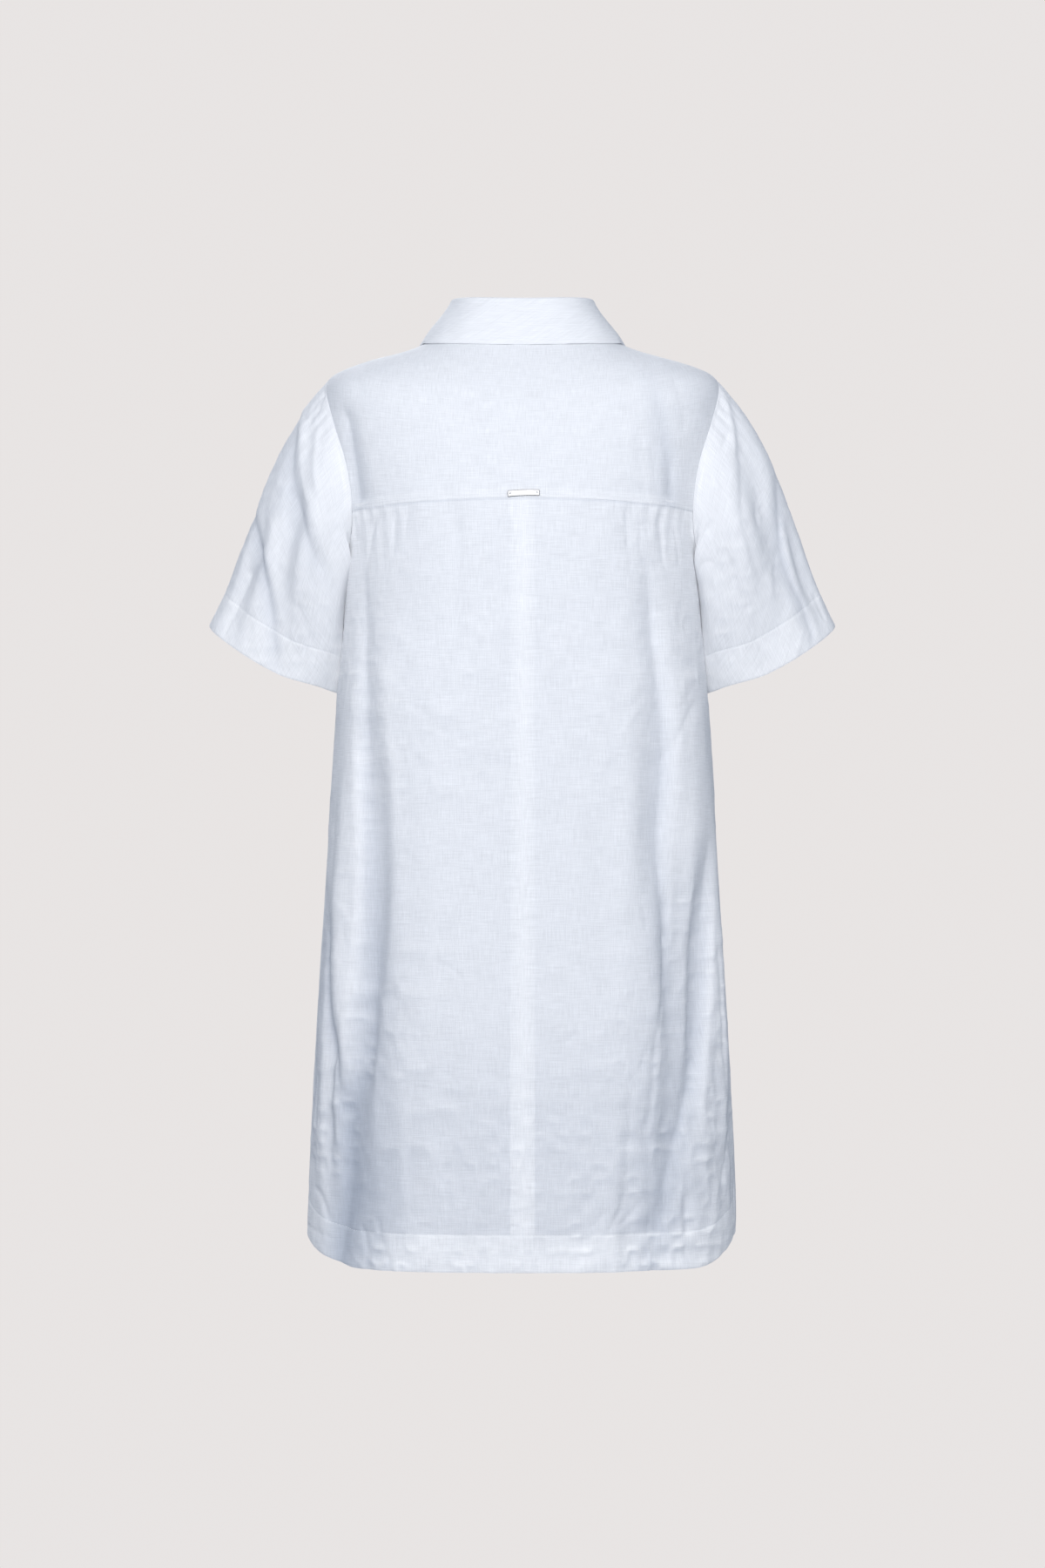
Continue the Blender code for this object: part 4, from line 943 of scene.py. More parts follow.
def stand_grid():
    """The collar stand's outer face, from end to end round the neck."""
    lap = math.degrees(math.asin(BAND_HALF_WIDTH / SECTION["half_width"][-1]))
    turns = steps_of(-90.0 - lap, (-90.0 + lap, 16), (270.0 - lap, 190), (270.0 + lap, 16))
    parts = steps_of(0.0, (0.16, 5), (0.84, 10), (1.0, 5))
    _, out, _ = neck_ring(turns)
    point = np.array([stand_point(turns, part) for part in parts])
    normal = np.broadcast_to(out, point.shape)
    across = edge_distances(point)["first"]
    height = np.broadcast_to(parts[:, None] * STAND_HEIGHT_BACK, across.shape)
    return {"point": point, "normal": normal, "flat": np.stack([across, height], axis=-1)}


def fall_grid():
    """The collar fall's upper face, from inside the roll to its lower edge."""
    across = steps_of(0.0, (0.012, 6), (0.06, 12), (0.94, 180), (0.988, 12), (1.0, 6))
    parts = steps_of(0.0, (1.0, 14), (1.84, 30), (1.98, 10), (2.0, 3))
    a, p = np.meshgrid(across, parts)
    point = fall_point(a, p)
    low, high = np.maximum(p - 0.02, 0.0), np.minimum(p + 0.02, 2.0)
    left, right = np.maximum(a - 0.002, 0.0), np.minimum(a + 0.002, 1.0)
    normal = unit(np.cross(
        fall_point(right, p) - fall_point(left, p), fall_point(a, low) - fall_point(a, high)))
    away = edge_distances(point)
    flat = np.stack([away["first"], -away["low"]], axis=-1)
    return {"point": point, "normal": normal, "flat": flat}


def crease_line(crease, count=24):
    """The points of a crease's line, in metres seen from behind."""
    start, middle, end = [
        np.array([crease[f"x{i}"], crease[f"z{i}"]], float) / 1000.0 for i in range(3)]
    part = np.linspace(0.0, 1.0, count)[:, None]
    bend = 2.0 * middle - 0.5 * (start + end)
    return start * (1 - part) ** 2 + 2 * bend * part * (1 - part) + end * part**2


def crease_relief(point, creases, taper=0.13):
    """How far the creases of a list move the cloth outwards."""
    moved = np.zeros(point.shape[:-1])
    flat = point[..., [0, 2]]
    flat = flat + 0.0011 * np.stack(
        [noise(point, (34.0, 34.0, 30.0), 41.0), noise(point, (34.0, 34.0, 30.0), 57.0)], axis=-1)
    for number, crease in enumerate(creases):
        line = crease_line(crease)
        inward, outward = crease["inward"] / 1000.0, crease["outward"] / 1000.0
        reach = 1.1 * max(inward, outward)
        inside = np.all(
            (flat > line.min(axis=0) - reach) & (flat < line.max(axis=0) + reach), axis=-1)
        if not inside.any():
            continue
        at = flat[inside][:, None, :]
        way = np.diff(line, axis=0)
        span = np.sum(way * way, axis=-1)
        part = np.clip(np.sum((at - line[:-1]) * way, axis=-1) / span, 0.0, 1.0)
        away = at - (line[:-1] + way * part[..., None])
        distance = np.linalg.norm(away, axis=-1)
        nearest = np.argmin(distance, axis=1)
        row = np.arange(len(nearest))
        along = (nearest + part[row, nearest]) / len(way)
        outside = away[row, nearest, 0] * np.sign(line[nearest, 0]) > 0
        width = np.where(outside, outward, inward)
        depth = crease["depth"] / 1000.0
        rounded = width * (0.05 if abs(depth) > 0.12 * inward else 0.40)
        far = np.sqrt(distance[row, nearest] ** 2 + rounded**2) - rounded
        profile = (1.0 - np.clip(far / width, 0.0, 1.0)) ** 2
        fade = soft_step(along / taper) * soft_step((1.0 - along) / taper)
        uneven = 1.0 + 0.18 * np.sin(along * 8.0 + number * 2.1)
        moved[inside] += depth * profile * fade * uneven
    return moved


def valley_relief(point, part):
    """How far a part's long valleys move the cloth outwards, and the painted shade they put there.
    """
    moved, shade = np.zeros(point.shape[:-1]), np.zeros(point.shape[:-1])
    x, z = 1000.0 * point[..., 0], 1000.0 * point[..., 2]
    x = x + 1.6 * noise(point, (14.0, 14.0, 16.0), 61.0)
    for rows in VALLEYS[part].values():
        columns = dict(zip(VALLEY_COLUMNS, np.array(rows[::-1], float).T))
        heights = columns.pop("z")
        line, inward, outward, depth, shaded = [
            smooth_between(heights, column, z) for column in columns.values()]
        within = (z > heights[0] - 30.0) & (z < heights[-1])
        away = (x - line) * np.sign(line)
        width = np.where(away > 0, outward, inward)
        rounded = np.minimum(0.10 * width, 2.0)
        far = np.sqrt(away**2 + rounded**2) - rounded
        rest = 1.0 - np.clip(far / width, 0.0, 1.0)
        moved -= 0.001 * depth * rest**2 * within
        # Painted shade along each valley, darkest on its line
        shade += shaded * rest**1.3 * within
    return moved, np.clip(shade, 0.0, 1.2)


def all_creases(part):
    """A part's creases: those listed for it, then short sharp ones scattered over it."""
    found = rows_of(CREASE_COLUMNS, CREASES[part])
    for seed, count, low, high in SMALL_CREASES[part]:
        random = np.random.default_rng(seed)
        for _ in range(count):
            x, z = random.uniform(low, high)
            turn = math.radians(random.normal(90.0, 35.0))
            length = random.uniform(9.0, 36.0)
            bow = random.uniform(-0.16, 0.16) * length
            dx, dz = 0.5 * length * math.cos(turn), 0.5 * length * math.sin(turn)
            row = (x - dx, z - dz, x - bow * math.sin(turn), z + bow * math.cos(turn), x + dx,
                   z + dz, random.uniform(2.4, 6.0), random.uniform(2.4, 6.0),
                   0.9 * random.uniform(-1.0, 0.7))
            found.append(dict(zip(CREASE_COLUMNS, row)))
    return found


def wrinkles(point, amount):
    """Small sharp creases of two sizes, here and there."""
    sharp = 0.0011 * (0.30 - np.abs(noise(point, (37.0, 37.0, 27.0), 21.3)))
    sharp = sharp * soft_step(0.5 + 1.4 * noise(point, (11.0, 11.0, 8.0), 31.9))
    tight = 0.00075 * (0.30 - np.abs(noise(point, (92.0, 92.0, 74.0), 41.5)))
    tight = tight * soft_step(0.5 + 1.2 * noise(point, (14.0, 14.0, 11.0), 47.3)) * amount
    return (sharp + tight) * amount


def painted_wrinkle_shade(point, amount):
    """Painted shade and light: darker under each small crease than over it, as if lit from above,
    and a little darker down in its fold.
    """
    step = UP * 0.0012
    slope = (wrinkles(point + step, amount) - wrinkles(point - step, amount)) / 0.0024
    return PAINTED_SLOPE_SHADE * slope - PAINTED_HOLLOW_SHADE * wrinkles(point, amount)


def crumple(point, amount):
    """The cloth's own unevenness: long ripples, soft dents and small sharp creases."""
    ripples = 0.0011 * noise(point, (17.0, 17.0, 4.0), 3.7)
    dents = 0.0005 * noise(point, (42.0, 42.0, 19.0), 9.1)
    fine = noise(point, (150.0, 150.0, 120.0), 5.3) + noise(point, (260.0, 260.0, 210.0), 7.7)
    return (ripples + dents) * amount + wrinkles(point, amount) + (
        0.00006 + 0.00006 * amount) * fine


def held(distance, reach=0.004):
    """0 on a join, so that two pieces meet there, and 1 a little way off."""
    return soft_step(distance / reach)


def seam_relief(point, distance, pucker=0.00025):
    """A seam draws the cloth's edge in, and puckers it a little."""
    pressed = -0.00055 * np.exp(-((distance / 0.0011) ** 2))
    wave = noise(point, (120.0, 120.0, 150.0), 14.2)
    return pressed + pucker * wave * np.exp(-((distance / 0.006) ** 2))


def stitch_relief(point, distance, line, band_puff=0.00012):
    """A row of stitches sinks into the cloth, and the doubled cloth beyond it ripples."""
    groove = -0.00032 * np.exp(-(((distance - line) / 0.0009) ** 2))
    band = soft_step((line - distance) / 0.002 + 0.5)
    skewed = point @ np.array([[1.0, 0.0, 0.45], [0.0, 1.0, 0.0], [0.0, 0.0, 1.0]])
    ripple = noise(skewed, (62.0, 62.0, 30.0), 27.0)
    near_line = np.exp(-(((distance - line) / 0.010) ** 2))
    return groove + band * band_puff + 0.00048 * ripple * np.maximum(0.55 * band, near_line)


def hem_fade(distance):
    """Creases grow shallower in the last centimetre before a hem's fold."""
    return soft_step(distance / 0.012 + 0.35)


def near_hem(point):
    """1 at the foot of the skirt, where the cloth is crumpled more, and 0 well above it."""
    return soft_step((-0.80 - point[..., 2]) / 0.08)


def rim_relief(distance):
    """The rounded fold at a free edge."""
    return -0.00045 * np.exp(-((distance / 0.0008) ** 2))


def layer_band(distance, width):
    """1 where a doubled band lies under the face, with a soft edge at its width."""
    return soft_step((width - distance) / 0.0012 + 0.5)


def placed(name, data):
    """A new object in the scene."""
    made = bpy.data.objects.new(name, data)
    bpy.context.scene.collection.objects.link(made)
    return made


def finish_hem(point, away, line, amount, relief, shade, other=0.0):
    """Sews a hem along its line and rounds its fold. It gives the cloth's relief and painted
    shade, the doubled band and the wall's thickness."""
    stitched = other + stitch_relief(point, away, line)
    hem = layer_band(away, line)
    # Painted shade and light: darker in the stitches' grooves and ripples, lighter over the puffed
    # band, and the small creases' painted shade
    shade = shade + painted_wrinkle_shade(point, amount) - PAINTED_STITCH_SHADE * stitched
    inner = SEEN_WALL + HEM_LAYER * hem + 0.8 * rim_relief(away)
    return relief + stitched + rim_relief(away), shade, hem, inner


def cloth_piece(name, grid, relief, layers, inner, closed_round=False, shade=0.0):
    """A closed thin wall of cloth with flat places as its map and its doubled bands."""
    point = grid["point"] + grid["normal"] * relief[..., None]
    within = point - grid["normal"] * inner[..., None]
    rows, columns = point.shape[:2]
    count = rows * columns
    index = np.arange(count).reshape(rows, columns)
    if closed_round:
        index = np.concatenate([index, index[:, :1]], axis=1)
    quads = np.stack([index[:-1, :-1], index[:-1, 1:], index[1:, 1:], index[1:, :-1]], axis=-1)
    quads = quads.reshape(-1, 4)
    rims = [index[0], index[-1, ::-1]]
    if not closed_round:
        rims.extend((index[::-1, 0], index[:, -1]))
    rims = [np.stack([line[:-1] + count, line[1:] + count, line[1:], line[:-1]], axis=-1)
            for line in rims]
    faces = np.concatenate([quads, quads[:, ::-1] + count, *rims])
    data = bpy.data.meshes.new(name)
    everything = np.concatenate([point.reshape(-1, 3), within.reshape(-1, 3)])
    data.vertices.add(len(everything))
    data.vertices.foreach_set("co", everything.ravel())
    data.loops.add(faces.size)
    data.loops.foreach_set("vertex_index", faces.ravel())
    data.polygons.add(len(faces))
    data.polygons.foreach_set("loop_start", np.arange(len(faces)) * 4)
    data.update(calc_edges=True)
    flat = np.tile(grid["flat"].reshape(-1, 2), (2, 1))[faces.ravel()]
    if closed_round:
        corner = flat.reshape(-1, 4, 2)
        wide = corner[..., 0].max(axis=1) - corner[..., 0].min(axis=1) > 0.2
        corner[wide, :, 0] += np.where(corner[wide, :, 0] < 0.1, SLEEVE_ROUND, 0.0)
        flat = corner.reshape(-1, 2)
    data.uv_layers.new(name="flat").data.foreach_set("uv", flat.ravel())
    # The shade attribute holds painted shade, and painted light where it is under 0, for the
    # linen's colour
    for key, values in (("layers", layers), ("shade", shade + 0.0 * layers)):
        data.attributes.new(key, "FLOAT", "POINT").data.foreach_set(
            "value", np.tile(values.ravel(), 2))
    if signed_volume(everything, faces) < 0:
        data.flip_normals()
    data.validate()
    data.shade_smooth()
    data.set_sharp_from_angle(angle=math.radians(55))
    grid["final"] = point
    return placed(name, data)


def signed_volume(points, quads):
    """Six times the volume inside the quads, under 0 where they face inwards."""
    a, b, c, d = [points[quads[:, i]] for i in range(4)]
    return np.sum(np.cross(b - a, c - a) * a) + np.sum(np.cross(c - a, d - a) * a)


def row_line(grid, key, distance):
    """The line of a grid's finished face that keeps a distance from one of its edges."""
    away = edge_distances(grid["point"])[key]
    final, normal = grid["final"], grid["normal"]
    if key in ("first", "last"):
        away, final, normal = away.T, final.swapaxes(0, 1), normal.swapaxes(0, 1)
    if key in ("high", "last"):
        away, final, normal = away[::-1], final[::-1], normal[::-1]
    columns = np.arange(away.shape[1])
    row = np.clip(np.sum(away < distance, axis=0), 1, len(away) - 1)
    span = away[row, columns] - away[row - 1, columns]
    part = np.clip((distance - away[row - 1, columns]) / span, 0.0, 1.0)[:, None]
    return (
        final[row - 1, columns] * (1 - part) + final[row, columns] * part,
        unit(normal[row - 1, columns] * (1 - part) + normal[row, columns] * part))


def capsules(line, normal):
    """Points and faces of small rounded threads laid end to end along a line."""
    steps = np.linalg.norm(np.diff(line, axis=0), axis=-1)
    along = np.concatenate([[0.0], np.cumsum(steps)])
    count = int((along[-1] - STITCH_LENGTH) / STITCH_PITCH)
    start = (along[-1] - (count * STITCH_PITCH + STITCH_LENGTH)) / 2
    start = start + STITCH_PITCH * np.arange(count + 1)

    def at(values, place):
        return np.stack([np.interp(place, along, values[:, i]) for i in range(3)], axis=-1)

    points, faces = [], []
    low, high = at(line, start), at(line, start + STITCH_LENGTH)
    up = unit(at(normal, start + STITCH_LENGTH / 2))
    side = np.cross(unit(high - low), up)
    for part, full in ((0.0, False), (0.16, True), (0.84, True), (1.0, False)):
        centre = low + (high - low) * part + up * (THREAD_LIFT if full else -0.4 * THREAD_RADIUS)
        if not full:
            points.append(centre)
            continue
        for turn in range(4):
            angle = 0.25 * math.pi + 0.5 * math.pi * turn
            points.append(
                centre + THREAD_RADIUS * (side * math.cos(angle) + up * math.sin(angle)))
    for turn in range(4):
        beside = (turn + 1) % 4
        faces.extend(((0, 1 + beside, 1 + turn), (9, 5 + turn, 5 + beside),
                      (1 + turn, 1 + beside, 5 + beside, 5 + turn)))
    points = np.array(points)
    number = points.shape[1]
    flat = points.swapaxes(0, 1).reshape(-1, 3)
    made = [tuple(10 * i + corner for corner in face) for i in range(number) for face in faces]
    return flat, made


def sewn(name, lines):
    """One object with rows of stitches along several lines."""
    points, faces, start = [], [], 0
    for line, normal in lines:
        some, more = capsules(line, normal)
        points.append(some)
        faces.extend(tuple(corner + start for corner in face) for face in more)
        start += len(some)
    return plain_object(name, np.concatenate(points), faces)


def face_outwards(data, weld=0.0):
    """Turns a mesh's faces outwards, once points closer than the weld are joined."""
    mesh = bmesh.new()
    mesh.from_mesh(data)
    if weld:
        bmesh.ops.remove_doubles(mesh, verts=mesh.verts, dist=weld)
    bmesh.ops.recalc_face_normals(mesh, faces=mesh.faces)
    mesh.to_mesh(data)
    mesh.free()
    data.shade_smooth()


def plain_object(name, points, faces):
    """A smooth object made of points and faces."""
    data = bpy.data.meshes.new(name)
    data.from_pydata([tuple(point) for point in points], [], faces)
    data.validate()
    face_outwards(data)
    return placed(name, data)


class Look:
    """A material, and short ways to add the nodes that it is made of."""

    def __init__(self, name):
        self.made = bpy.data.materials.new(name)
        self.made.use_nodes = True
        self.tree = self.made.node_tree

    def fill(self, target, inputs):
        """Links or sets a node's inputs."""
        for key, value in inputs.items():
            if isinstance(value, bpy.types.NodeSocket):
                self.tree.links.new(value, target.inputs[key])
            else:
                target.inputs[key].default_value = value

    def node(self, kind, inputs=None, **values):
        """A new node with its settings and inputs."""
        fresh = self.tree.nodes.new("ShaderNode" + kind)
        for key, value in values.items():
            setattr(fresh, key, value)
        self.fill(fresh, inputs or {})
        return fresh

    def place(self):
        """The place on the object itself."""
        return self.node("TexCoord").outputs["Object"]

    def maths(self, kind, a, b=0.0):
        return self.node("Math", {0: a, 1: b}, operation=kind).outputs[0]

    def vector(self, kind, a, b):
        return self.node("VectorMath", {0: a, 1: b}, operation=kind).outputs[0]

    def total(self, start, *terms):
        """The start and each value times its weight, added up."""
        for value, weight in terms:
            start = self.maths("ADD", self.maths("MULTIPLY", value, weight), start)
        return start

    def noise(self, place, scale, detail, **more):
        inputs = {"Vector": place, "Scale": scale, "Detail": detail, **more}
        return self.node("TexNoise", inputs).outputs["Fac"]

    def stretched(self, place, size, detail, **more):
        """Noise stretched by a size along each axis."""
        place = self.node("Mapping", {"Vector": place, "Scale": size}).outputs[0]
        return self.noise(place, 1.0, detail, **more)

    def ranged(self, value, low, high, start=0.0, end=1.0):
        """The range from start to end mapped to low and high, and held there beyond it."""
        return self.node("MapRange", {"Value": value, "From Min": start, "From Max": end,
                                      "To Min": low, "To Max": high}).outputs[0]

    def ramp(self, value, low, high, start=0.0, end=1.0):
        """Greys or colours from low to high, between two places of a value."""
        made = self.node("ValToRGB", {"Fac": value})
        for stop, colour, at in zip(made.color_ramp.elements, (low, high), (start, end)):
            stop.color = (*colour, 1.0)
            stop.position = at
        return made.outputs[0]

    def bumped(self, height, strength, distance):
        return self.node("Bump", {
            "Height": height, "Strength": strength, "Distance": distance}).outputs[0]

    def finish(self, inputs):
        """Fills the shader's own inputs and gives the material."""
        self.fill(self.tree.nodes["Principled BSDF"], inputs)
        return self.made


def linen_material():
    """Plain-woven linen: uneven threads both ways, whiter where it is doubled, darkened by painted
    shade.
    """
    look = Look("linen")
    flat = look.node("UVMap", uv_map="flat").outputs[0]
    layers, painted_shade = [
        look.node("Attribute", attribute_name=name).outputs["Fac"] for name in ("layers", "shade")]
    threads = look.maths("ADD", look.stretched(flat, (1500.0, 55.0, 1.0), 3.0, Roughness=0.6),
                         look.stretched(flat, (48.0, 1500.0, 1.0), 3.0, Roughness=0.6))
    slubs = look.maths("ADD", look.stretched(flat, (900.0, 42.0, 1.0), 2.0, Roughness=0.6),
                       look.stretched(flat, (38.0, 950.0, 1.0), 2.0, Roughness=0.6))
    cloud = look.noise(flat, 38.0, 4.0)
    split = look.node("SeparateXYZ", {0: flat})
    across, along = [
        look.maths("SINE", look.maths("MULTIPLY", split.outputs[axis], 2 * math.pi / pitch))
        for axis, pitch in enumerate(THREAD_PITCH)]
    weave = look.maths("MULTIPLY", across, along)
    shade = look.total(0.52, (threads, 0.30), (slubs, 0.13), (weave, 0.030), (cloud, 0.06))
    cloth = look.node(
        "Mix", {"Factor": layers, 6: (*SINGLE_LINEN, 1.0), 7: (*DOUBLE_LINEN, 1.0)},
        data_type="RGBA", clamp_factor=False).outputs[2]
    # Painted shade: the colour is darkened and turned bluer by the shade that each piece carries
    after_painted_shade = look.vector("SUBTRACT", (1.0, 1.0, 1.0), look.vector("MULTIPLY", PAINTED_SHADE_TINT, painted_shade))
    height = look.total(0.0, (weave, 0.35), (threads, 0.9), (slubs, 0.9))
    return look.finish({
        "Base Color": look.vector("MULTIPLY", look.vector("MULTIPLY", cloth, shade), after_painted_shade),
        "Roughness": look.total(0.92, (slubs, -0.10)),
        "Normal": look.bumped(height, 0.55, 0.00028),
        "Sheen Weight": 0.10, "Sheen Roughness": 0.45, "Specular IOR Level": 0.30})


def thread_material():
    """White sewing thread with a fine twist."""
    look = Look("sewing_thread")
    twist = look.noise(look.place(), 2600.0, 2.0)
    return look.finish({
        "Base Color": look.vector("MULTIPLY", THREAD_WHITE, look.ranged(twist, 0.90, 1.06)),
        "Normal": look.bumped(twist, 0.4, 0.0001), "Roughness": 0.6, "Sheen Weight": 0.15})


def button_material():
    """Milky white button with faint clouds and a soft gloss."""
    look = Look("button")
    cloud = look.noise(look.place(), 260.0, 4.0, Distortion=1.2)
    return look.finish({
        "Base Color": look.ramp(cloud, (0.80, 0.80, 0.78), (0.92, 0.92, 0.91), 0.35, 0.70),
        "Roughness": look.ranged(cloud, 0.22, 0.36),
        "Coat Weight": 0.3, "Coat Roughness": 0.15})


def plate_material():
    """Pale silver metal, brushed along its length, with painted shade darkening it round its rim.
    """
    look = Look("silver_plate")
    place = look.place()
    grain = look.stretched(place, (160.0, 5200.0, 5200.0), 3.0)
    marks = look.noise(place, 420.0, 3.0)
    x, y = look.node("SeparateXYZ", {0: place}).outputs[:2]
    from_end = look.maths("SUBTRACT", PLATE_LENGTH / 2, look.maths("ABSOLUTE", x))
    arched = look.total(y, (look.maths("POWER", x, 2.0), 4 * PLATE_ARCH / PLATE_LENGTH**2))
    from_side = look.maths("SUBTRACT", PLATE_HEIGHT / 2, look.maths("ABSOLUTE", arched))
    # Painted shade: the colour is darkened to a thin dark outline at the plate's rim
    rim = look.ranged(look.maths("MINIMUM", from_end, from_side), 0.14, 1.0, 0.0002, 0.0008)
    metal = look.ramp(grain, (0.48, 0.48, 0.49), (0.62, 0.62, 0.62))
    return look.finish({
        "Base Color": look.vector("MULTIPLY", metal, rim),
        "Roughness": look.total(0.36, (grain, 0.16), (marks, 0.16)),
        "Normal": look.bumped(grain, 0.25, 0.00005), "Metallic": 1.0})


def circle(sides):
    """The cosine and sine of each of a circle's points."""
    turns = 2 * math.pi * np.arange(sides) / sides
    return list(zip(np.cos(turns).tolist(), np.sin(turns).tolist()))


def ring_faces(start, rings, sides):
    """The quads between rings of points that follow each other, after a start."""
    faces = []
    for first in range(start, start + (rings - 1) * sides, sides):
        for turn in range(sides):
            n = (turn + 1) % sides
            faces.append((first + turn, first + n, first + sides + n, first + sides + turn))
    return faces


def button_mesh():
    """A button with a rounded raised rim, a dished middle and four holes."""
    r, t = BUTTON_RADIUS, BUTTON_THICKNESS
    profile = (
        (r * 0.46, BUTTON_TOP), (r * 0.60, t * 0.78), (r * 0.70, t * 0.93), (r * 0.78, t),
        (r * 0.87, t * 0.97), (r * 0.95, t * 0.84), (r * 0.99, t * 0.66), (r, t * 0.5),
        (r * 0.985, t * 0.30), (r * 0.93, t * 0.12), (r * 0.82, 0.0))
    sides = 48
    points = [(radius * x, radius * y, z) for radius, z in profile for x, y in circle(sides)]
    points.extend(((0.0, 0.0, BUTTON_TOP), (0.0, 0.0, 0.0)))
    faces, last = ring_faces(0, len(profile), sides), (len(profile) - 1) * sides
    for turn in range(sides):
        n = (turn + 1) % sides
        faces.extend(((len(points) - 2, turn, n),
                      (last + turn, len(points) - 1, last + n)))
    body = plain_object("button_body", points, faces)
    for x, y in BUTTON_HOLES:
        bpy.ops.mesh.primitive_cylinder_add(
            vertices=20, radius=BUTTON_HOLE_RADIUS, depth=0.01, location=(x, y, 0.0))
        cutter = bpy.context.active_object
        cut = body.modifiers.new("hole", "BOOLEAN")
        cut.operation = "DIFFERENCE"
        cut.object = cutter
        graph = bpy.context.evaluated_depsgraph_get()
        holed = bpy.data.meshes.new_from_object(body.evaluated_get(graph))
        body.modifiers.clear()
        body.data = holed
        bpy.data.objects.remove(cutter, do_unlink=True)
    holed.shade_smooth()
    holed.set_sharp_from_angle(angle=math.radians(40))
    bpy.data.objects.remove(body, do_unlink=True)
    holed.name = "button"
    return holed


def button_thread():
    """Lines of thread over a button's holes, and of its shank down to the cloth."""
    part, low = np.linspace(-1.0, 1.0, 9), np.linspace(-0.0007, 0.0006, 3)
    lines = []
    for x in (-1, 1):
        for shift in (-0.00028, 0.0, 0.00028):
            lines.append(np.stack([
                np.full(9, x * BUTTON_HOLE_OFFSET + shift), 1.25 * BUTTON_HOLE_OFFSET * part,
                BUTTON_TOP + 0.00038 * (1.0 - part**4) - 0.0006 * part**8], axis=-1))
    for x, y in BUTTON_HOLES:
        lines.append(np.stack([np.full(3, 0.9 * x), np.full(3, 0.9 * y), low], axis=-1))
    return lines


def buttonhole_line():
    """The stitched edge of the slit that a button goes through."""
    around = np.linspace(0.0, 2 * np.pi, 61)
    return np.stack([
        BUTTONHOLE_WIDE * np.cos(around),
        np.clip(np.sin(around) * 1.25, -1, 1) * (BUTTONHOLE_HALF - BUTTONHOLE_WIDE)
        + BUTTONHOLE_WIDE * np.sin(around),
        np.full(61, 0.00010 - BUTTON_LIFT)], axis=-1)


def tube(name, lines, radius, sides=6):
    """One object with a round thread along each of several lines."""
    points, faces = [], []
    for line in lines:
        way = unit(np.gradient(line, axis=0))
        aside = np.where(np.abs(way[:, 2:]) > 0.9, [[1.0, 0.0, 0.0]], [[0.0, 0.0, 1.0]])
        side = unit(np.cross(way, aside))
        up = np.cross(side, way)
        start, last = len(points), len(points) + (len(line) - 1) * sides
        points.extend(at + radius * (side[i] * x + up[i] * y)
                      for i, at in enumerate(line) for x, y in circle(sides))
        faces.extend(ring_faces(start, len(line), sides))
        faces.append(tuple(start + turn for turn in reversed(range(sides))))
        faces.append(tuple(last + turn for turn in range(sides)))
    return plain_object(name, points, faces)


def facing_frame(facing, along):
    """A turn whose Z is the facing and whose Y lies near a given way."""
    facing = np.asarray(facing, float)
    side = unit(np.cross(along, facing))
    return np.stack([side, np.cross(facing, side), facing], axis=-1)


def button_places():
    """The place and facing of each button, from the stand down."""
    front = np.array([270.0])
    place = stand_point(front, 0.48)[0]
    rise = stand_point(front, 0.6)[0] - stand_point(front, 0.4)[0]
    facing = unit(np.cross(rise, [-1.0, 0.0, 0.0]))
    places = [(place + facing * BUTTON_LIFT, facing)]
    for height in BUTTON_HEIGHTS:
        level = float(np.interp(height, SECTION["front_z"], SECTION["level"]))
        point, normal = plain_place(-1, -90.0, level)
        places.append((point + normal * (LAP_LIFT + BUTTON_LIFT), normal))
    return places


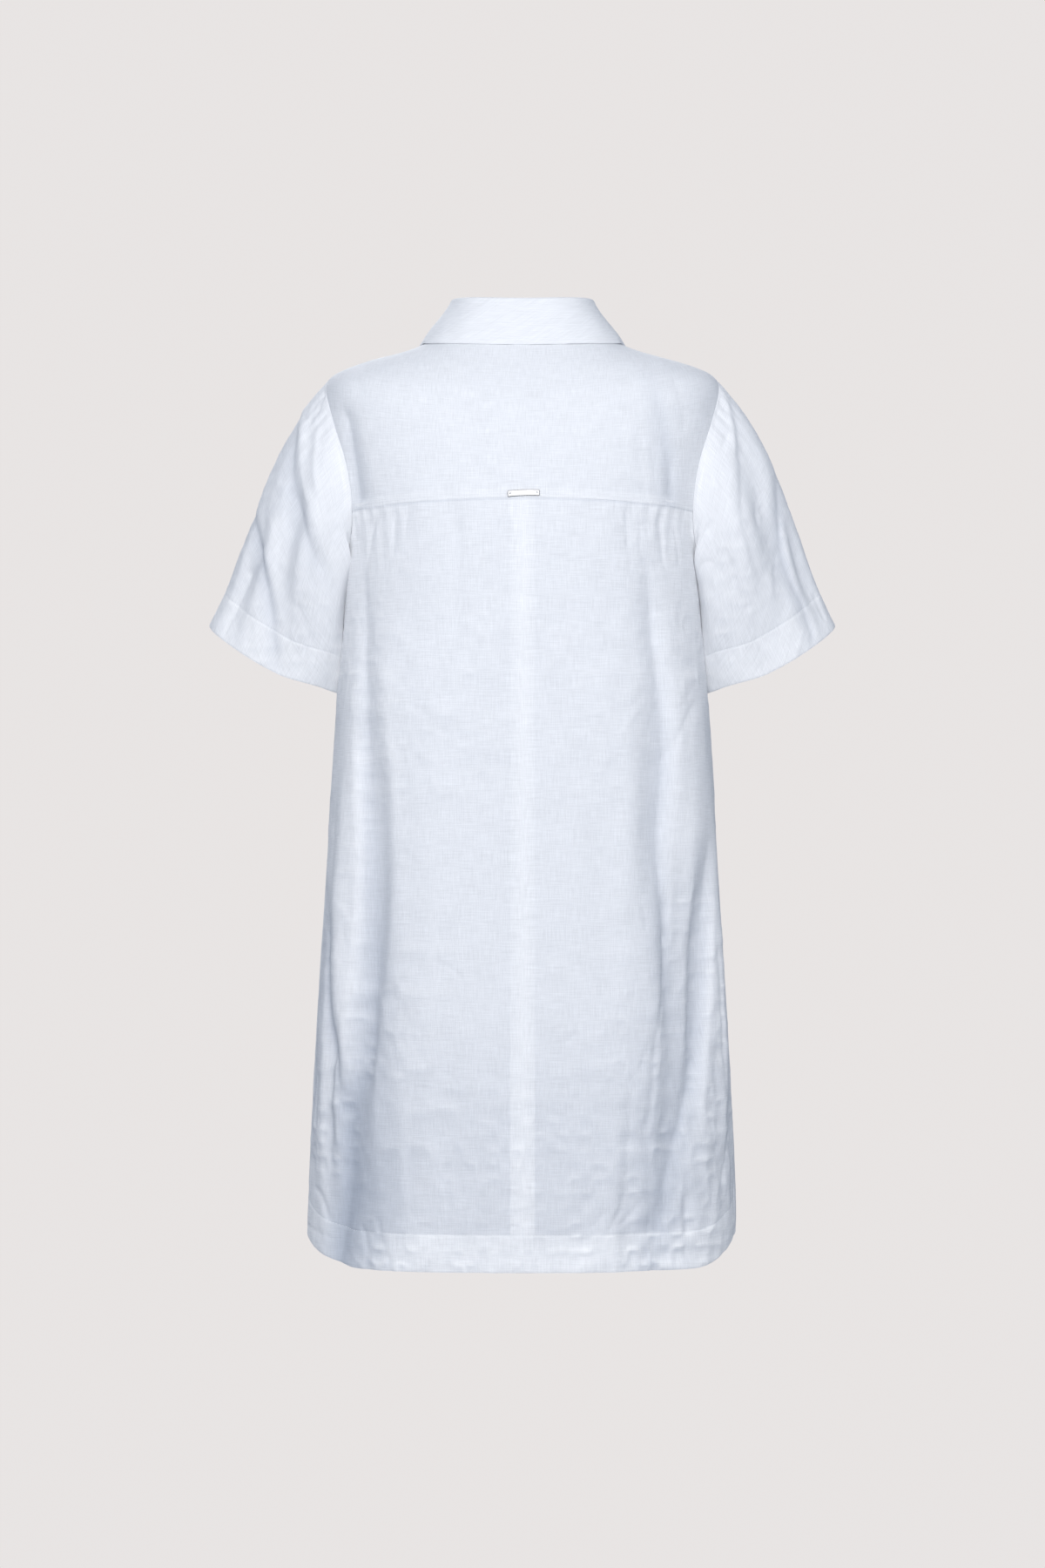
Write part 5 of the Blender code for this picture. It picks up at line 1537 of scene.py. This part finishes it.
def make_back(name, side):
    """One side of the back, with its upper edge tucked in under the yoke."""
    near = steps_of(0.0, (0.0016, 3), (0.0100, 5), (0.0130, 5))
    parts = steps_of(0.0, (0.90, 92), (0.985, 14), (1.0, 6))
    rows = side_rows(True, yoke_end_level() + TUCK)
    grid = panel_grid(side, rows, True, hem_level, tucked_level, near, parts)
    point, away = grid["point"], edge_distances(grid["point"])
    below = away["high"] - TUCK
    edges = np.abs(point[..., 0])
    lower = soft_step((-0.50 - point[..., 2]) / 0.30)
    amount = 0.55 + 0.5 * (soft_step((edges - 0.06) / 0.10) + lower + near_hem(point))
    relief = crease_relief(point, all_creases("back")) * hem_fade(away["low"])
    valleys, shade = valley_relief(point, "back")
    # Painted shadow: a thin dark line just under the yoke's lower edge, where the backs tuck in
    shade = shade + 0.45 * np.exp(-(((below - 0.0005) / 0.0010) ** 2))
    # Painted light: the sides are made lighter, fading out towards the lower skirt
    shade = shade - 0.2 * soft_step((edges - 0.10) / 0.06) * soft_step(
        (point[..., 2] + 0.75) / 0.15)
    # Painted shade: the middle of the lower skirt is made darker towards the hem, less over the
    # centre seam's doubled band and not on the hem band
    middle = 1.0 - 0.9 * soft_step((edges - 0.11) / 0.05)
    middle = middle * (1.0 - 0.9 * layer_band(away["first"], ALLOWANCE))
    shade = shade + 0.24 * middle * soft_step((-0.62 - point[..., 2]) / 0.16) * soft_step(
        (away["low"] - HEM_STITCH) / 0.002)
    amount = 0.45 + (amount - 0.45) * soft_step(below / 0.020)
    relief = (relief + valleys) * soft_step(below / 0.010) + crumple(point, amount)
    relief = relief * held(away["last"])
    relief += seam_relief(point, away["first"]) + 0.4 * seam_relief(point, away["last"])
    relief += -TUCK_DEPTH * soft_step((0.0035 - below) / 0.0035)
    pleats = noise(point, (150.0, 150.0, 20.0), 2.0) * np.exp(-below / 0.02)
    relief += 0.0003 * pleats * held(below)
    relief, shade, hem, inner = finish_hem(point, away["low"], HEM_STITCH, amount, relief, shade)
    low = soft_step((-0.45 - point[..., 2]) / 0.25)
    seam = (0.5 + 0.3 * low) * layer_band(away["first"], ALLOWANCE) + 0.9 * np.exp(
        -((away["first"] / 0.0072) ** 2))
    layers = np.maximum.reduce([1.5 * hem, seam, 0.5 * layer_band(away["last"], ALLOWANCE)])
    return grid, cloth_piece(name, grid, relief, layers, inner, shade=shade)


def make_front(name, side):
    """One front, with its doubled band along the free edge."""
    grid = front_grid(side)
    point, away = grid["point"], edge_distances(grid["point"])
    amount = 0.75 + 0.4 * near_hem(point)
    band = layer_band(away["first"], 2 * BAND_HALF_WIDTH)
    relief = crease_relief(point, all_creases("front")) * hem_fade(away["low"])
    relief = relief * (1.0 - 0.8 * band) + crumple(point, amount * (1.0 - 0.5 * band))
    valleys, shade = valley_relief(point, "front")
    relief = (relief + valleys) * held(away["last"])
    relief += 0.4 * seam_relief(point, away["last"]) + seam_relief(point, away["high"])
    beside = stitch_relief(point, away["first"], 2 * BAND_HALF_WIDTH - BAND_STITCH, 0.0002)
    relief, shade, hem, inner = finish_hem(
        point, away["low"], HEM_STITCH, amount * (1.0 - 0.5 * band), relief, shade, beside)
    relief += rim_relief(away["first"])
    layers = np.maximum.reduce([hem, band, layer_band(away["last"], ALLOWANCE)])
    return grid, cloth_piece(name, grid, relief, layers, inner, shade=shade)


def make_yoke(name):
    """The back yoke, whose lower edge is stitched down over the backs."""
    grid = yoke_grid()
    point, away = grid["point"], edge_distances(grid["point"])
    valleys, shade = valley_relief(point, "yoke")
    relief = 0.7 * crease_relief(point, all_creases("yoke")) + valleys
    relief = relief * held(away["low"], 0.012)
    relief += crumple(point, 0.45) * (0.25 + 0.75 * soft_step((away["high"] - 0.030) / 0.02))
    shade = shade + painted_wrinkle_shade(point, 0.45)
    for key in ("first", "last", "high"):
        relief = relief * held(away[key]) + 0.4 * seam_relief(point, away[key])
    relief += 0.6 * stitch_relief(point, away["low"], YOKE_STITCH, 0.0)
    relief += 0.5 * rim_relief(away["low"])
    bands = [0.6 * layer_band(away[key], ALLOWANCE) for key in ("first", "last", "high")]
    layers = np.maximum.reduce([0.75 * layer_band(away["low"], YOKE_ALLOWANCE), *bands])
    layers = np.maximum(layers, 0.15)
    return grid, cloth_piece(name, grid, relief, layers, SEEN_WALL + 0.0 * relief, shade=shade)


def make_sleeve(name, side):
    """A sleeve, resting on the body's side below the armhole."""
    grid = sleeve_grid(side)
    point = grid["point"]
    away = edge_distances(point)
    turn = grid["flat"][..., 0] / SLEEVE_ROUND
    along = away["low"] / (away["low"] + away["high"])
    rest = soft_step((0.20 - np.abs(turn - 0.48)) / 0.09) * soft_step(along / 0.12)
    beyond = np.maximum(side * point[..., 0] - side_of_body(point) - SLEEVE_CLEAR, 0.0)
    point[..., 0] -= side * rest * np.minimum(beyond, SLEEVE_SWELL)
    fade = hem_fade(away["high"])
    behind = soft_step((np.sum(grid["normal"] * [0.0, 1.0, 0.0], axis=-1) + 0.25) / 0.5)
    part = "sleeve_left" if side > 0 else "sleeve_right"
    creases = all_creases(part)
    valleys, shade = valley_relief(point, part)
    relief = (crease_relief(point, creases) + valleys) * fade * behind
    shifted = point + np.array([0.004 * side, 0.0, -0.012])
    valleys, more = valley_relief(shifted, part)
    relief += 0.8 * (crease_relief(shifted, creases) + valleys) * fade * (1.0 - behind)
    # Painted shade of the valleys, full on the back of the sleeve and fainter on its front, and
    # painted light over the whole sleeve
    shade = shade * behind + 0.6 * more * (1.0 - behind) - SLEEVE_PAINTED_LIGHT
    relief += crumple(point, 0.9)
    for gather in CAP_GATHERS:
        distance = (np.mod(turn - gather + 0.5, 1.0) - 0.5) * 0.45
        hang = np.exp(-away["low"] / (0.016 + 0.25 * abs(gather)))
        relief += -0.0012 * bump(distance, 0.0024) * hang
    relief = relief * held(away["low"]) * (1.0 - 0.7 * rest)
    relief, shade, hem, inner = finish_hem(
        point, away["high"], SLEEVE_STITCH, 0.9, relief, shade)
    layers = np.maximum(hem, 0.4 * layer_band(away["low"], 0.008))
    return grid, cloth_piece(name, grid, relief, layers, inner, True, shade)


def make_stand(name):
    """The collar's stand, doubled and stitched along the neck."""
    grid = stand_grid()
    point, away = grid["point"], edge_distances(grid["point"])
    relief = crumple(point, 0.2)
    for key in ("low", "high", "first", "last"):
        relief += rim_relief(away[key])
    relief += stitch_relief(point, away["low"], STAND_STITCH, 0.0)
    full = np.ones(relief.shape)
    return grid, cloth_piece(name, grid, relief, full, COLLAR_WALL * full)


def make_fall(name):
    """The collar's fall, doubled, with a stitched and pressed edge."""
    grid = fall_grid()
    point, away = grid["point"], edge_distances(grid["point"])
    down = soft_step((away["low"] - 0.008) / 0.012)
    relief = crumple(point, 0.5) * down * soft_step(away["high"] / 0.016)
    for key in ("high", "first", "last"):
        relief += rim_relief(away[key])
    relief += stitch_relief(point, away["high"], FALL_STITCH, 0.0001)
    relief += 0.0002 * noise(point, (70.0, 70.0, 90.0), 8.0) * np.exp(-away["high"] / 0.012)
    pressed = 0.0006 * np.exp(-((away["high"] / 0.005) ** 2))
    full = np.ones(relief.shape)
    return grid, cloth_piece(name, grid, relief - pressed, full, COLLAR_WALL - pressed)


def plate_object():
    """The bare plate: rounded corners and edges, a hole near each end."""
    half, high, corner = PLATE_LENGTH / 2, PLATE_HEIGHT / 2, PLATE_CORNER
    outline = bpy.data.curves.new("plate_outline", "CURVE")
    outline.dimensions = "2D"
    outline.fill_mode = "BOTH"
    outline.extrude = PLATE_THICKNESS / 2 - PLATE_EDGE
    outline.bevel_depth = PLATE_EDGE
    outline.bevel_resolution = 3
    outline.offset = -PLATE_EDGE
    turns = np.linspace(0.0, math.pi / 2, 6)
    loop = []
    for x, y, start in ((1, 1, 0.0), (-1, 1, 0.5), (-1, -1, 1.0), (1, -1, 1.5)):
        for turn in turns:
            angle = math.pi * start + turn
            loop.append((x * (half - corner) + corner * math.cos(angle),
                         y * (high - corner) + corner * math.sin(angle)))
        if y == 1 and x == 1 or y == -1 and x == -1:
            loop.extend((x * (half - corner) * part, y * high) for part in
                        np.linspace(0.85, -0.85, 14))
    loops = [loop]
    for centre in (PLATE_HOLE_INSET - half, half - PLATE_HOLE_INSET):
        around = -2 * np.pi * np.arange(16) / 16
        loops.append([(centre + PLATE_HOLE_RADIUS * math.cos(a), PLATE_HOLE_RADIUS * math.sin(a))
                      for a in around])
    for points in loops:
        spline = outline.splines.new("POLY")
        spline.points.add(len(points) - 1)
        spline.use_cyclic_u = True
        for knot, (x, y) in zip(spline.points, points):
            knot.co = (x, y - PLATE_ARCH * (x / half) ** 2, 0.0, 1.0)
    rough = placed("plate_rough", outline)
    graph = bpy.context.evaluated_depsgraph_get()
    data = bpy.data.meshes.new_from_object(rough.evaluated_get(graph))
    bpy.data.objects.remove(rough, do_unlink=True)
    face_outwards(data, 1e-6)
    data.set_sharp_from_angle(angle=math.radians(35))
    return placed("yoke_plate_metal", data)


def plate_frame():
    """The plate's place on the yoke and how it is turned."""
    place, normal = plain_place(1, 90.0, PLATE_CENTRE[1])
    rise = np.cross(normal, [-1.0, 0.0, 0.0])
    facing = Matrix((Vector((-1.0, 0.0, 0.0)), Vector(rise), Vector(normal))).transposed()
    turn = facing @ Matrix.Rotation(math.radians(PLATE_TILT), 3, "Z")
    place = place + np.array([PLATE_CENTRE[0], 0.0, 0.0])
    return place + normal * (BUTTON_LIFT + PLATE_THICKNESS / 2), turn


def settle(made, slot, *replaced):
    """Puts a piece on the one body, in the place of its solids. The slot is not used."""
    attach(made, "root")
    if replaced:
        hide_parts(*replaced)


def soft_area(name, place, aim, size, power, colour):
    """A soft rectangular light that is aimed at a point."""
    light = bpy.data.lights.new(name, "AREA")
    light.shape = "RECTANGLE"
    light.size, light.size_y = size
    light.energy = power
    light.color = colour
    made = placed(name, light)
    made.location = place
    made.rotation_euler = (Vector(aim) - Vector(place)).to_track_quat("-Z", "Y").to_euler()


# Camera and stage
camera = placed("camera", bpy.data.cameras.new("camera"))
camera.location = (0.0, CAMERA_DISTANCE, CAMERA_HEIGHT)
camera.rotation_euler = (math.radians(90.0), 0.0, math.radians(180.0))
camera.data.lens = LENS
bpy.context.scene.camera = camera
bpy.context.scene.view_settings.view_transform = "Standard"
bpy.context.scene.view_settings.look = "None"

world = bpy.data.worlds.new("studio")
bpy.context.scene.world = world
world.use_nodes = True
tree = world.node_tree
shown = tree.nodes["Background"]
shown.inputs["Color"].default_value = (*BACKGROUND, 1.0)
shown.inputs["Strength"].default_value = 1.0
lit = tree.nodes.new("ShaderNodeBackground")
lit.inputs["Color"].default_value = (*SKY_COLOUR, 1.0)
lit.inputs["Strength"].default_value = SKY_STRENGTH
path = tree.nodes.new("ShaderNodeLightPath")
choice = tree.nodes.new("ShaderNodeMixShader")
tree.links.new(path.outputs["Is Camera Ray"], choice.inputs[0])
tree.links.new(lit.outputs[0], choice.inputs[1])
tree.links.new(shown.outputs[0], choice.inputs[2])
tree.links.new(choice.outputs[0], tree.nodes["World Output"].inputs["Surface"])

around = np.linspace(0.0, 2 * np.pi, 97)[:-1]
ring = np.stack([np.cos(around), np.sin(around), 0.0 * around], axis=-1) * FLOOR_RADIUS
floor = plain_object("floor", ring + UP * FLOOR_Z, [tuple(range(96))])
pale = Look("pale_floor")
floor.data.materials.append(pale.finish({
    "Base Color": (*FLOOR_COLOUR, 1.0),
    "Roughness": pale.total(0.6, (pale.noise(pale.place(), 9.0, 2.0), 0.1))}))
for light in LIGHTS:
    soft_area(*light)

# Cloth, and the rows of stitches of each piece: the edge they follow and how far from it
PIECES = (
    ("back_left", "back_left", make_back, (1,), (("low", HEM_STITCH),)),
    ("back_right", "back_right", make_back, (-1,), (("low", HEM_STITCH),)),
    ("front_left", "front_left", make_front, (1,), (("low", HEM_STITCH),)),
    ("front_right", "front_right", make_front, (-1,), (
        ("low", HEM_STITCH), ("first", BAND_STITCH),
        ("first", 2 * BAND_HALF_WIDTH - BAND_STITCH))),
    ("back_yoke", "yoke", make_yoke, (), (("low", YOKE_STITCH),)),
    ("sleeve_left", "sleeve_left", make_sleeve, (1,), (("high", SLEEVE_STITCH),)),
    ("sleeve_right", "sleeve_right", make_sleeve, (-1,), (("high", SLEEVE_STITCH),)),
    ("collar_stand", "collar_stand", make_stand, (), (("low", STAND_STITCH),)),
    ("collar_fall", "collar_fall", make_fall, (), (
        ("high", FALL_STITCH), ("first", FALL_STITCH), ("last", FALL_STITCH))),
)
linen, thread = linen_material(), thread_material()
cloths = [make(piece + "_cloth", *values) for _, piece, make, values, _ in PIECES]
for (node_name, piece, _, _, rows), (grid, cloth) in zip(PIECES, cloths):
    stitches = sewn(piece + "_stitches", [row_line(grid, key, line) for key, line in rows])
    cloth.data.materials.append(linen)
    stitches.data.materials.append(thread)
    settle(cloth, node_name, node_name)
    settle(stitches, node_name)

# Buttons
button = button_mesh()
button.materials.append(button_material())
button_lines, hole_line = button_thread(), buttonhole_line()
for number, (place, facing) in enumerate(button_places(), start=1):
    turn = facing_frame(facing, np.array([1.0, 0.0, 0.0]) if number == 1 else UP)
    made = placed(f"button_{number}_round", button)
    made.matrix_world = Matrix.Translation(place) @ Matrix(turn).to_4x4()
    settle(made, "buttons", f"button_{number}")
    lines = [place + line @ turn.T for line in button_lines]
    tied = tube(f"button_{number}_thread", lines, TIE_RADIUS)
    tied.data.materials.append(thread)
    settle(tied, "buttons")
    edge = tube(f"buttonhole_{number}", [place + hole_line @ turn.T], EDGING_RADIUS)
    edge.data.materials.append(thread)
    settle(edge, "front_right" if number > 1 else "collar_stand")

# Plate
plate = plate_object()
place, turn = plate_frame()
plate.matrix_world = Matrix.Translation(place) @ turn.to_4x4()
plate.data.materials.append(plate_material())
settle(plate, "yoke_plate", "yoke_plate")
